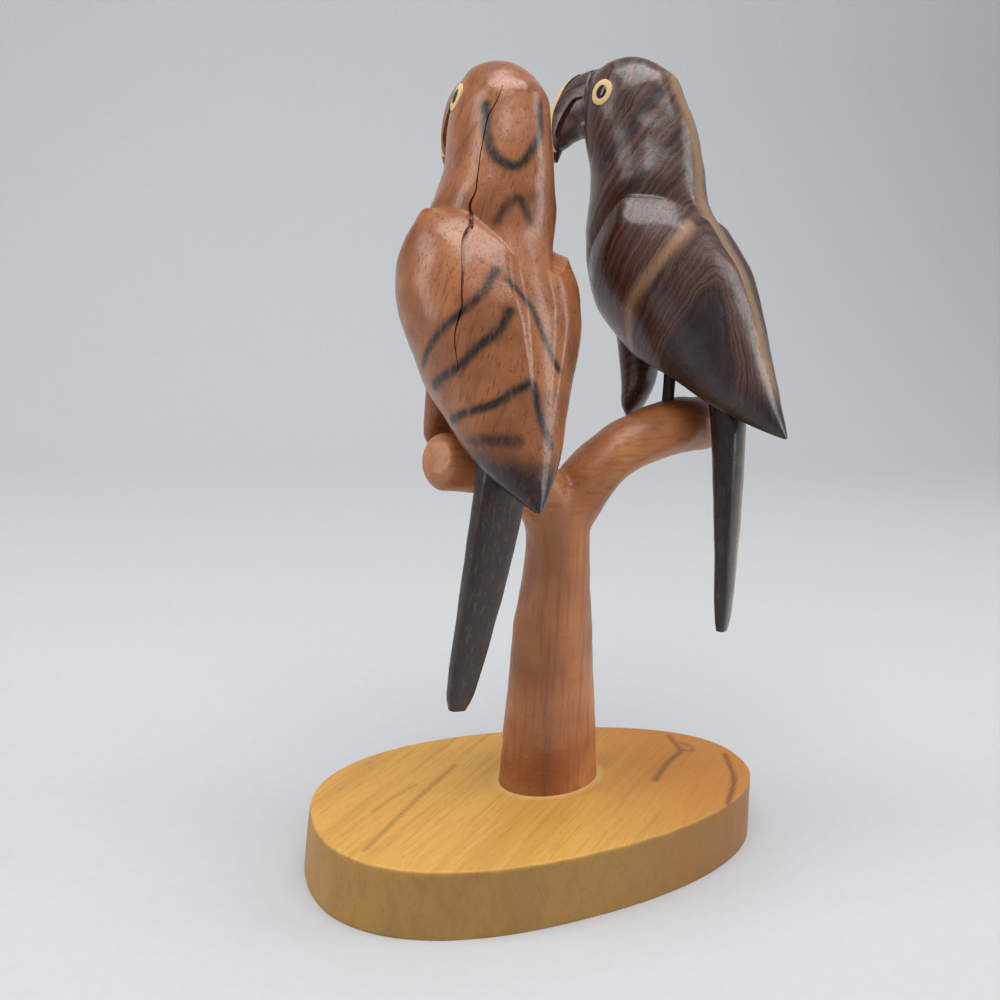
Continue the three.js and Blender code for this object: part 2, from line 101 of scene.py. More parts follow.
# A bird's body: see the fitting of s, n and x in body_point
LEAN = np.radians(26)
CROWN_Y = 13.3
CROWN_Z = 89.6
BODY_TOP = -3.8
BODY_TIP = 110.4
BACK_LINE = [
    (-3.8, 7.4), (-2.5, 2.2), (0, -1.6), (4.2, -4.9), (10, -7.4), (20.8, -7.3), (33.2, -5.2),
    (43.2, -2.7), (56.4, -4.3), (64.7, -5.3), (84.7, -3.7), (110.4, 0.2),
]
FRONT_LINE = [
    (-3.8, 7.9), (-2.5, 12.6), (0, 15.5), (6.6, 19.4), (13.3, 22), (21.6, 23.8), (28.2, 26.6),
    (38.2, 31.5), (49, 34.5), (57.3, 34.9), (71.4, 29.2), (83.8, 20.3), (94.6, 13.4),
    (103.8, 6.6), (110.4, 0.5),
]
NECK_HALF_WIDTH = [
    (-3.8, 0), (-2.8, 4.2), (0, 8.2), (5, 10.7), (10, 11.6), (16.6, 11.8), (22.4, 12.5),
    (27.4, 13.7), (33.2, 15.6), (41.5, 17.2), (51.5, 18.9), (66.4, 18.6), (83, 15),
    (89.6, 12.9), (110.4, 0.6),
]
WING_HALF_WIDTH = [
    (29.9, 20.8), (36.5, 23.9), (43.2, 23.7), (53.1, 24.1), (62.3, 22.6), (73, 19.2),
    (83.8, 15.2), (94.6, 11.5), (103.8, 6.1), (110.4, 0.4),
]
CLOSURE = [
    (-3.8, 0.995), (59.8, 0.995), (68, 0.93), (76.4, 0.76), (89.6, 0.58), (110.4, 0.5),
]
WING_RIM = [
    (0, 50), (0.1, 50), (0.13, 47.5), (0.19, 44), (0.3, 39.5), (0.4, 37.2), (0.5, 35.3),
    (0.55, 36.2), (0.6, 38), (0.68, 41), (0.76, 44.2), (0.84, 48.5), (0.93, 56), (1, 65),
]
RIM_STEP = (-0.7, 1.3)
LEDGE = 0.5
SHOULDER = 9
VALLEY = (0.07, 0.125)
BACK_RAISE = 1.4
VALLEY_START = 62
VALLEY_END = 93
COVE_DEPTH = 0.8
COVE_WIDTH = 4.2
UNDERSIDE_HOLLOW = 3
HOLLOW_SPAN = (58, 75, 93, 110.4)
HALF_RING_STEPS = 104
UNDERSIDE_STEPS = 12
ROWS_ABOVE_RIM = 110
ROWS_IN_RIM = 8
ROWS_BELOW_RIM = 128
CROWN_CROWDING = 1.6
CROWN_FIRST_ROW = 0.012

BELLY = [
    (43, 8.5, 7.5, 9), (25, 9.3, 7.8, 10), (13.3, 8, 5.4, 9), (4, 8, 3.8, 8), (-3, 9.2, 2.2, 6),
    (-6.3, 9.6, 0.9, 3),
]
TAIL = [
    (20, -9.9, 3.6, 6.2), (6.6, -15.7, 4.6, 6.9), (-5, -18.4, 4, 6.8), (-26, -19.8, 3.2, 6.2),
    (-47, -20.7, 2.4, 5), (-61, -21, 1.8, 3.8), (-65.4, -21, 1.2, 2.4),
]
BELLY_SQUARENESS = 2.3
TAIL_SQUARENESS = 3.2
BILL_ROOT_Y = 21.6
UPPER_BILL = [
    (21.6, 80.9, 8.5, 6.8), (28.6, 79.3, 8.9, 5.9), (33.2, 75.8, 7.3, 4.8), (36.4, 71, 4, 3.4),
    (37.6, 67.6, 2, 2.1), (37.4, 64.4, 0.4, 0.5),
]
LOWER_BILL = [
    (21.6, 73.6, 5, 5.4), (28.2, 73.8, 3.8, 4.3), (32.4, 73, 2.3, 2.8), (35, 71.6, 0.4, 0.7),
]
STRIP_FROM = 0.9
STRIP_TO = 4.2
STRIP_THICKNESS = 2.7
STRIP_TAPER = 0.8
STRIP_OVERCUT = 2
INLAY_GAP = 0.07

EYE_S = 6.1
EYE_AROUND = 0.6
EYE_RING_RADIUS = 3.4
PUPIL_RADIUS = 1.75
EYE_DEPTH = 2.4
EYE_PROUD = 0.3
PUPIL_PROUD = 0.7
EYE_SIDES = 72

PEG_RADIUS = 1.7
PEG_Y = -1
PEG_BOTTOM = -6
PEG_TOP = 16
PEG_GAP = 0.3
PEG_SIDES = 40

PERCHES = {
    "left": {
        "place": (-26.4, 3.7, 120.2), "heading": 15, "tilt": 9.3, "pitch": 3.3,
        "rim_drops": (0, 3.6), "bill_reach": 0.8, "tail_length": 1,
    },
    "right": {
        "place": (33.9, 11, 128.6), "heading": 39.4, "tilt": 6.5, "pitch": -4.2,
        "rim_drops": (1.6, 1.6), "bill_reach": 1, "tail_length": 0.965,
    },
}

# The split in the left bird: (s, share round) down the nape and the left wing, then its widths
LEFT_CRACK = [
    (8.8, -0.219), (12.4, -0.258), (16.8, -0.319), (24, -0.336), (33.9, -0.297), (37, -0.311),
    (43.1, -0.251), (45.4, -0.258), (52.1, -0.266), (61.6, -0.305), (70.1, -0.425), (76.8, -0.5),
]
LEFT_CRACK_WIDTHS = [0.15, 0.25, 0.3, 0.3, 0.4, 0.7, 1.2, 1.4, 0.9, 0.5, 0.35, 0.15]
LEFT_CRACK_DEPTHS = [0.2, 0.4, 0.5, 0.5, 0.7, 1.1, 2, 2.2, 1.6, 1, 0.6, 0.2]

# The mouth groove on the side of the right bill: (y, z, width)
MOUTH_LINE = [
    (27.1, 80.1, 0.7), (29.5, 79.7, 1.2), (32.2, 76.9, 1.7), (34.8, 73.1, 1.8), (35.4, 71.3, 1.8),
    (34.9, 69.4, 1.2),
]
FACE_GROOVE_Y = 26.4
FACE_GROOVE_Z = 79.3
FACE_GROOVE_HALF_HEIGHT = 9.9
FACE_GROOVE_HALF_WIDTH = 7

# Dark figure drawn in the wood of the left bird: width, strength, then (s, share round) points
LEFT_STROKES = [
    (1.8, 0.9, [(72.6, -0.703), (68.8, -0.505), (65.1, -0.342), (61.1, -0.226), (54.9, -0.153)]),
    (2, 0.95, [(78.1, -0.749), (75.9, -0.466), (72.1, -0.313), (69.9, -0.225), (64.8, -0.144)]),
    (1.9, 0.95, [
        (86.6, -0.849), (85.7, -0.43), (82.2, -0.184), (80.9, -0.092), (88.9, -0.028), (94.5, 0.105),
    ]),
    (2.6, 0.8, [(92.5, -0.908), (93.5, -0.464), (94.2, -0.26)]),
    (1.5, 0.85, [(57.5, -0.12), (63.3, -0.046), (68.1, -0.015), (73.3, 0.043), (76.9, 0.108)]),
    (2.2, 0.9, [
        (12.9, -0.331), (19.3, -0.322), (26, -0.254), (28.9, -0.129), (24.8, -0.039), (19.3, 0.026),
        (12.8, 0.041),
    ]),
    (2, 0.75, [(41.1, -0.15), (37.4, -0.13), (36.3, -0.085), (40.3, -0.009)]),
    (1.6, 0.5, [(44, -0.6), (55, -0.66), (66, -0.75)]),
]
LEFT_PALE_STROKES = [
    (1, 0.8, [(101.5, -0.55), (102.5, -0.5)]),
]
RIGHT_STROKES = [
    (2.4, 0.75, [(12.8, -0.228), (20.9, -0.542), (24.7, -0.709)]),
    (2.4, 0.7, [(24.7, -0.173), (32.8, -0.422), (36.9, -0.564)]),
]
# The right bird's pale marks: a paler band of figure across the flank, then a painted highlight, a lighter
# strip down the back beside its middle where the polish catches a light from behind
RIGHT_PALE_FIGURE_AND_HIGHLIGHT = [
    (2.6, 0.75, [(51, -0.212), (57.5, -0.394), (64.5, -0.66), (71.9, -0.926)]),
    (4.6, 0.75, [(10.2, -0.048), (30, -0.03), (55, -0.05), (75, -0.06), (90, -0.12), (109.2, -0.5)]),
]
# The middle of the right wing's nested rings, as (s, millimetres round)
RING_MIDDLE = (77.4, -20)

# Camera
CAMERA_PLACE = (-0.112649, -0.241837, 0.174585)
CAMERA_AZIMUTH = np.radians(-21.441)
CAMERA_ELEVATION = np.radians(15.205)
CAMERA_ROLL = np.radians(3.153)
CAMERA_LENS = 37.8

# Stage: the wall stands this far behind the middle of the board, turned a little from the camera,
# and the floor sweeps up into it over the bend
STAGE_AZIMUTH = np.radians(-8.1)
WALL_DISTANCE = 0.8
WALL_HEIGHT = 1.6
WALL_BEND = 0.35
# How much light the paper gives back, where its grain is darker and where it is lighter
PAPER_SHADES = (0.56, 0.6)
FLOOR_REACH = 2.4
STAGE_HALF_WIDTH = 2.4


def through(stations):
    """Smooth curve through (x, value) stations: cubic pieces with the harmonic mean of the slopes."""
    xs, ys = np.array(stations, float).T
    slopes = np.diff(ys) / np.diff(xs)
    before, after = slopes[:-1], slopes[1:]
    turning = before * after <= 0
    total = np.where(turning, 1, before + after)
    inner = np.where(turning, 0, 2 * before * after / total)
    tangents = np.concatenate([slopes[:1], inner, slopes[-1:]])

    def curve(x):
        x = np.clip(x, xs[0], xs[-1])
        i = np.clip(np.searchsorted(xs, x, side="right") - 1, 0, len(xs) - 2)
        h = xs[i + 1] - xs[i]
        t = (x - xs[i]) / h
        return (
            (2 * t**3 - 3 * t**2 + 1) * ys[i]
            + (t**3 - 2 * t**2 + t) * h * tangents[i]
            + (3 * t**2 - 2 * t**3) * ys[i + 1]
            + (t**3 - t**2) * h * tangents[i + 1]
        )

    return curve


def columns(stations):
    """Each column of a table of stations as a smooth function of the station number."""
    return [through(list(enumerate(column))) for column in zip(*stations)]


def smooth(start, end, x):
    """Soft step from 0 at start to 1 at end, whichever of the two is larger."""
    t = np.clip((x - start) / (end - start), 0, 1)
    return t * t * (3 - 2 * t)


def lerp(a, b, t):
    return a + (b - a) * t


def unit(v):
    return v / np.linalg.norm(v, axis=-1, keepdims=True)


def signed_power(x, power):
    return np.sign(x) * np.abs(x) ** power


def ripple(points, wavelength, seed, waves=10):
    """Uneven height of hand work: the sum of plane waves in random directions, about -1 to 1."""
    draw = np.random.default_rng(seed)
    directions = unit(draw.normal(size=(waves, 3)))
    lengths = wavelength * draw.uniform(0.7, 1.7, (waves, 1))
    phases = draw.uniform(0, 2 * np.pi, waves)
    return np.sin(points @ (2 * np.pi * directions / lengths).T + phases).sum(1) / waves**0.5


def loft(rings):
    """Points and triangles of a closed surface over rings (rows, count, 3), fanned shut at both ends."""
    rows, count = rings.shape[:2]
    ends = np.stack([rings[0].mean(0), rings[-1].mean(0)])
    points = np.concatenate([rings.reshape(-1, 3), ends])
    row, column = np.meshgrid(np.arange(rows - 1), np.arange(count), indexing="ij")
    a = (row * count + column).ravel()
    b = (row * count + (column + 1) % count).ravel()
    here = np.arange(count)
    after = (here + 1) % count
    first = rows * count
    last = (rows - 1) * count
    triangles = np.concatenate([
        np.stack([a, b, b + count], -1),
        np.stack([a, b + count, a + count], -1),
        np.stack([np.full(count, first), after, here], -1),
        np.stack([np.full(count, first + 1), last + here, last + after], -1),
    ])
    return outward(points, triangles)


def outward(points, triangles):
    """Turns a closed surface the right way out, by the sign of its volume."""
    a, b, c = (points[triangles[:, k]] for k in range(3))
    if np.einsum("ij,ij->i", a, np.cross(b, c)).sum() < 0:
        triangles = triangles[:, ::-1]
    return points, triangles


def solid(name, shape):
    """Blender object from points in millimetres and triangles."""
    points, triangles = shape
    mesh = bpy.data.meshes.new(name)
    mesh.vertices.add(len(points))
    mesh.vertices.foreach_set("co", (points * MM).astype(np.float32).ravel())
    mesh.loops.add(triangles.size)
    mesh.loops.foreach_set("vertex_index", triangles.astype(np.int32).ravel())
    mesh.polygons.add(len(triangles))
    mesh.polygons.foreach_set("loop_start", np.arange(0, triangles.size, 3, dtype=np.int32))
    mesh.update(calc_edges=True)
    mesh.validate()
    piece = bpy.data.objects.new(name, mesh)
    bpy.context.scene.collection.objects.link(piece)
    return piece


def combine(piece, others, operation):
    """Joins the other solids to a piece, or cuts them out of it, and removes them."""
    for other in others:
        modifier = piece.modifiers.new("Carving", "BOOLEAN")
        modifier.operation = operation
        modifier.solver = "MANIFOLD"
        modifier.object = other
        depsgraph = bpy.context.evaluated_depsgraph_get()
        mesh = bpy.data.meshes.new_from_object(piece.evaluated_get(depsgraph))
        piece.modifiers.clear()
        spent = [piece.data, other.data]
        piece.data = mesh
        bpy.data.objects.remove(other)
        for old in spent:
            bpy.data.meshes.remove(old)
    if not piece.data.vertices:
        raise RuntimeError(f"{piece.name} came out empty")
    return piece


def points_of(piece):
    """A piece's vertices in millimetres."""
    flat = np.empty(len(piece.data.vertices) * 3, np.float32)
    piece.data.vertices.foreach_get("co", flat)
    return flat.reshape(-1, 3).astype(float) / MM


def normals_of(piece):
    flat = np.empty(len(piece.data.vertices) * 3, np.float32)
    piece.data.vertex_normals.foreach_get("vector", flat)
    return flat.reshape(-1, 3).astype(float)


def place_points(piece, points):
    piece.data.vertices.foreach_set("co", (points * MM).astype(np.float32).ravel())
    piece.data.update()


def relax(piece, weights, rounds):
    """Moves each vertex towards the mean of its neighbours, by its weight, so that a join softens."""
    ends = np.empty(len(piece.data.edges) * 2, np.int32)
    piece.data.edges.foreach_get("vertices", ends)
    a, b = ends.reshape(-1, 2).T
    points = points_of(piece)
    count = len(points)
    degree = np.bincount(a, minlength=count) + np.bincount(b, minlength=count)
    for _ in range(rounds):
        for axis in range(3):
            values = points[:, axis]
            total = np.bincount(a, values[b], count) + np.bincount(b, values[a], count)
            points[:, axis] = lerp(values, total / np.maximum(degree, 1), weights)
    place_points(piece, points)


def mark(piece, name, values):
    """Stores one number for each vertex, which the wood reads as an attribute."""
    layer = piece.data.attributes.new(name, "FLOAT", "POINT")
    layer.data.foreach_set("value", values.astype(np.float32))


def finish_piece(piece, material, nodes, sharp_angle=38):
    """Shades a piece, gives it its wood, and lets it stand for its solids."""
    piece.data.shade_smooth()
    piece.data.set_sharp_from_angle(angle=np.radians(sharp_angle))
    piece.data.materials.clear()
    piece.data.materials.append(material)
    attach(piece, "root")
    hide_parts(*nodes)


def turned(profile, centre, axis, sides):
    """Surface turned round an axis through (radius, height) points that end on the axis or close."""
    axis = unit(np.array(axis, float))
    helper = np.array([0, 0, 1.0]) if abs(axis[2]) < 0.9 else np.array([1.0, 0, 0])
    across = unit(np.cross(axis, helper))
    over = np.cross(axis, across)
    radius, height = np.array(profile, float).T
    angle = np.linspace(0, 2 * np.pi, sides, endpoint=False)
    spokes = np.cos(angle)[:, None] * across + np.sin(angle)[:, None] * over
    return np.array(centre) + radius[:, None, None] * spokes + height[:, None, None] * axis


def tube_shape(profile, centre, axis, sides):
    """A turned ring whose profile closes on itself, such as an eye ring."""
    rings = turned(profile, centre, axis, sides)
    rows, count = rings.shape[:2]
    row, column = np.meshgrid(np.arange(rows), np.arange(count), indexing="ij")
    a = (row * count + column).ravel()
    b = (row * count + (column + 1) % count).ravel()
    c = (((row + 1) % rows) * count + (column + 1) % count).ravel()
    d = (((row + 1) % rows) * count + column).ravel()
    triangles = np.concatenate([np.stack([a, b, c], -1), np.stack([a, c, d], -1)])
    return outward(rings.reshape(-1, 3), triangles)


def groove(path, normals, widths, depths, over=1.5):
    """Cutter for a groove along a path on a surface: a half round below, widening a little above."""
    forward = unit(np.gradient(path, axis=0))
    side = unit(np.cross(forward, normals))
    normals = unit(np.cross(side, forward))
    angle = np.linspace(0, np.pi, 9)
    across = np.concatenate([np.cos(angle), [-1.15, 1.15]])
    down = np.concatenate([-np.sin(angle), [0, 0]])
    up = np.concatenate([np.zeros(9), [over, over]])
    rings = (
        path[:, None]
        + (widths / 2)[:, None, None] * across[:, None] * side[:, None]
        + (depths[:, None] * down + up)[:, :, None] * normals[:, None]
    )
    return loft(rings)


def resampled(table, count):
    """A table of stations carried smoothly to more rows."""
    steps = np.linspace(0, len(table) - 1, count)
    return np.stack([column(steps) for column in columns(table)], -1)


def stroke_field(place, strokes):
    """How strongly listed strokes mark each point: full at a line, nothing beyond its width."""
    field = np.zeros(len(place))
    for width, strength, points in strokes:
        line = resampled(points, 6 * len(points))
        nearest = np.full(len(place), np.inf)
        for a, b in zip(line[:-1], line[1:]):
            along = np.clip((place - a) @ (b - a) / ((b - a) @ (b - a) + 1e-9), 0, 1)
            gap = np.linalg.norm(place - a - along[:, None] * (b - a), axis=1)
            nearest = np.minimum(nearest, gap)
        field = np.maximum(field, strength * smooth(width, 0.1 * width, nearest))
    return field


# The bird

back_line = through(BACK_LINE)
front_line = through(FRONT_LINE)
neck_half_width = through(NECK_HALF_WIDTH)
wing_half_width = through(WING_HALF_WIDTH)
closure = through(CLOSURE)
wing_rim = through(WING_RIM)


def body_point(s, n, x):
    """From s down the leaning body axis, n in front of it and x to the right, to the bird's frame."""
    y = CROWN_Y - s * np.sin(LEAN) + n * np.cos(LEAN)
    z = CROWN_Z - s * np.cos(LEAN) - n * np.sin(LEAN)
    return np.stack(np.broadcast_arrays(x, y, z), -1)


def body_place(points):
    """The way back: s, n, x, and the share of the way round from the back to the breast."""
    x, y, z = points.T
    s = -(y - CROWN_Y) * np.sin(LEAN) - (z - CROWN_Z) * np.cos(LEAN)
    n = (y - CROWN_Y) * np.cos(LEAN) - (z - CROWN_Z) * np.sin(LEAN)
    close = closure(s)
    depth = (front_line(s) - back_line(s)) / (1 + close)
    width = lerp(neck_half_width(s), wing_half_width(s), smooth(38, 46, s))
    angle = np.arctan2(np.abs(x) / np.maximum(width, 0.1), (back_line(s) + depth - n) / depth)
    share = np.sign(x) * angle / np.arccos(-close)
    return s, n, x, share


def half_round(s):
    """About how many millimetres it is from the middle of the back round to the breast."""
    depth = (front_line(s) - back_line(s)) / (1 + closure(s))
    width = lerp(neck_half_width(s), wing_half_width(s), smooth(38, 46, s))
    return np.arccos(-closure(s)) * (depth + width) / 2


def rim_at(around, drop):
    return wing_rim(around) + drop * smooth(0.05, 0.15, around) * smooth(1, 0.6, around)


def cloak_point(s, around, rim):
    """x and n of half a section: the neck's oval, widened below the rim into the wing's."""
    below = s - rim
    step = np.clip((below - RIM_STEP[0]) / (RIM_STEP[1] - RIM_STEP[0]), 0, 1)
    wing = step**1.6 * smooth(VALLEY[0], VALLEY[1], around)
    back = back_line(s) - wing * BACK_RAISE * smooth(VALLEY_END, VALLEY_START, s)
    spread = wing * lerp(LEDGE, 1, smooth(RIM_STEP[0], SHOULDER, below))
    width = lerp(neck_half_width(s), wing_half_width(s), spread)
    close = closure(s)
    depth = (front_line(s) - back) / (1 + close)
    angle = np.arccos(-close) * around
    cove = COVE_DEPTH * (1 - wing) * np.exp(-((np.minimum(below, 0) / COVE_WIDTH) ** 2))
    cove = cove * smooth(0.1, 0.16, around) * smooth(1, 0.8, around)
    x = (width - cove) * np.sin(angle)
    n = back + depth - (depth - cove) * np.cos(angle)
    return x, n


def cloak_half(drop):
    """One side of the cloak as grids of s, n and x: rows down the body, then round and under."""
    around = np.linspace(0, 1, HALF_RING_STEPS + 1)[None]
    rim = rim_at(around, drop)
    above = np.linspace(CROWN_FIRST_ROW, 1, ROWS_ABOVE_RIM, endpoint=False)[:, None] ** CROWN_CROWDING
    within = np.linspace(0, 1, ROWS_IN_RIM, endpoint=False)[:, None]
    below = np.linspace(0, 1, ROWS_BELOW_RIM)[:, None]
    s = np.concatenate([
        lerp(BODY_TOP, rim + RIM_STEP[0], above),
        rim + lerp(RIM_STEP[0], RIM_STEP[1], within),
        lerp(rim + RIM_STEP[1], BODY_TIP, below),
    ])
    x, n = cloak_point(s, around, rim)
    edge_s, edge_n, edge_x = (grid[:, -1:] for grid in (s, n, x))
    start, full, fade, end = HOLLOW_SPAN
    hollow = UNDERSIDE_HOLLOW * smooth(start, full, edge_s) * smooth(end, fade, edge_s)
    out = 1 - np.arange(1, UNDERSIDE_STEPS + 1)[None] / UNDERSIDE_STEPS
    under_n = edge_n - hollow * (1 - out * out)
    s = np.concatenate([s, np.repeat(edge_s, UNDERSIDE_STEPS, 1)], 1)
    n = np.concatenate([n, under_n], 1)
    x = np.concatenate([x, edge_x * out], 1)
    return s, n, x


def cloak(rim_drops):
    """Head, neck, back and both wings: the right half and the mirrored left half of each ring."""
    left_s, left_n, left_x = cloak_half(rim_drops[0])
    right = body_point(*cloak_half(rim_drops[1]))
    left = body_point(left_s, left_n, -left_x)
    return loft(np.concatenate([right, left[:, -2:0:-1]], 1))


def upright_loft(stations, rows, sides, squareness):
    """Rounded upright sections through (z, middle y, half depth, half width): a superellipse each."""
    z, y, depth, width = resampled(stations, rows).T[:, :, None]
    angle = np.linspace(0, 2 * np.pi, sides, endpoint=False)[None]
    power = 2 / squareness
    x = width * signed_power(np.cos(angle), power)
    across = y + depth * signed_power(np.sin(angle), power)
    return loft(np.stack(np.broadcast_arrays(x, across, z), -1))


def reaching(stations, reach):
    return [(BILL_ROOT_Y + (y - BILL_ROOT_Y) * reach, *rest) for y, *rest in stations]


def bill_point(line, t, up, x):
    """A point of a bill: up from its middle line at station t, square to it, and x to the side."""
    e = 0.05
    y, z = line[0], line[1]
    along = unit(np.stack([y(t + e) - y(t - e), z(t + e) - z(t - e)], -1))
    place = (x, y(t) - along[..., 1] * up, z(t) + along[..., 0] * up)
    return np.stack(np.broadcast_arrays(*place), -1)


def bill_loft(stations, rows, sides):
    line = columns(stations)
    t = np.linspace(0, len(stations) - 1, rows)[:, None]
    angle = np.linspace(0, 2 * np.pi, sides, endpoint=False)[None]
    return loft(bill_point(line, t, line[2](t) * np.cos(angle), line[3](t) * np.sin(angle)))


def bill_strip(reach, gap):
    """The strip on the bill's ridge: the bill's outer arc closed by a flat. With a gap, its pocket."""
    line = columns(reaching(UPPER_BILL, reach))
    over = STRIP_OVERCUT if gap > 0 else 0
    t = np.linspace(STRIP_FROM - 0.1 * gap, STRIP_TO + 0.1 * gap, 60)[:, None]
    height, width = line[2](t), line[3](t)
    grow = 0.12 + 0.88 * smooth(STRIP_FROM, STRIP_FROM + STRIP_TAPER, t)
    floor = np.maximum(height - STRIP_THICKNESS * grow - gap, -0.85 * height)
    share = np.linspace(-1, 1, 25)[None]
    angle = np.arccos(floor / height) * share
    up = np.where(np.abs(share) < 1, (height + over) * np.cos(angle), floor)
    up = np.maximum(up, floor)
    return loft(bill_point(line, t, up, (width + over) * np.sin(angle)))


def eye_seat(side):
    """Centre of an eye on the side of the head, and the direction out of the surface there."""
    def at(s, around):
        x, n = cloak_point(s, around, wing_rim(around))
        return body_point(s, n, side * x)

    down = at(EYE_S + 1, EYE_AROUND) - at(EYE_S - 1, EYE_AROUND)
    around = at(EYE_S, EYE_AROUND + 0.02) - at(EYE_S, EYE_AROUND - 0.02)
    out = unit(np.cross(down, around))
    return at(EYE_S, EYE_AROUND), out if out[0] * side > 0 else -out


def on_cloak(s, share, rim_drops):
    """Points on the body at s and a signed share round, with the directions out of the surface."""
    side = np.where(share < 0, -1, 1)
    drop = np.where(share < 0, rim_drops[0], rim_drops[1])

    def at(s, share):
        around = np.abs(share)
        x, n = cloak_point(s, around, rim_at(around, drop))
        return body_point(s, n, side * x)

    down = at(s + 0.4, share) - at(s - 0.4, share)
    around = at(s, share + 0.01 * side) - at(s, share - 0.01 * side)
    out = unit(np.cross(down, around)) * -side[:, None]
    return at(s, share), out


def to_world(points, perch):
    """From a bird's frame to the board's: turned by pitch, tilt and heading, then set in place."""
    turn = (
        Matrix.Rotation(np.radians(perch["heading"]), 3, "Z")
        @ Matrix.Rotation(np.radians(perch["tilt"]), 3, "Y")
        @ Matrix.Rotation(np.radians(perch["pitch"]), 3, "X")
    )
    return points @ np.array(turn).T + np.array(perch["place"])


def crack_cutter(perch):
    s, share = resampled(LEFT_CRACK, 90).T
    path, out = on_cloak(s, share, perch["rim_drops"])
    widths, depths = resampled(list(zip(LEFT_CRACK_WIDTHS, LEFT_CRACK_DEPTHS)), 90).T
    return groove(path, out, widths, depths)


def bill_side(y, z, reach):
    """Half width of the upper bill at a point of its side, from the nearest of its sections."""
    line = columns(reaching(UPPER_BILL, reach))
    t = np.linspace(0, len(UPPER_BILL) - 1, 300)
    distance = np.hypot(y[:, None] - line[0](t), z[:, None] - line[1](t))
    nearest = t[distance.argmin(1)]
    up = distance.min(1) / line[2](nearest)
    return line[3](nearest) * np.sqrt(np.clip(1 - up**2, 0.05, 1))


def mouth_cutters(reach):
    """The groove between the bills, on both sides of the upper bill."""
    y, z, widths = resampled(reaching(MOUTH_LINE, reach), 60).T
    half = bill_side(y, z, reach)
    cutters = []
    for side in (-1, 1):
        path = np.stack([side * half, y, z], -1)
        out = np.tile([side, 0.0, 0.0], (len(y), 1))
        cutters.append(groove(path, out, widths, 0.75 * widths + 0.2, 4))
    return cutters


def face_groove(reach):
    """The oval groove where the bill meets the face."""
    angle = np.linspace(0.12 * np.pi, 1.88 * np.pi, 120)
    x = FACE_GROOVE_HALF_WIDTH * np.sin(angle)
    z = FACE_GROOVE_Z + FACE_GROOVE_HALF_HEIGHT * np.cos(angle)
    y = np.full(120, BILL_ROOT_Y + (FACE_GROOVE_Y - BILL_ROOT_Y) * reach)
    path = np.stack([x, y, z], -1)
    out = unit(np.stack([np.sin(angle), 0.35 + 0 * angle, np.cos(angle)], -1))
    return groove(path, out, np.full(120, 1.1), np.full(120, 0.9), 3)


def figure_field(s, mm_round):
    """Growth layers that the right wing cuts: hairpins whose legs run down the flank and the back."""
    down = s - RING_MIDDLE[0]
    across = mm_round - RING_MIDDLE[1]
    flank = np.maximum(-0.82 * down - 0.574 * across, 0)
    back = np.maximum(across, 0)
    foot = np.maximum(0.35 * down, 0)
    return (flank**3 + back**3 + foot**3) ** (1 / 3)


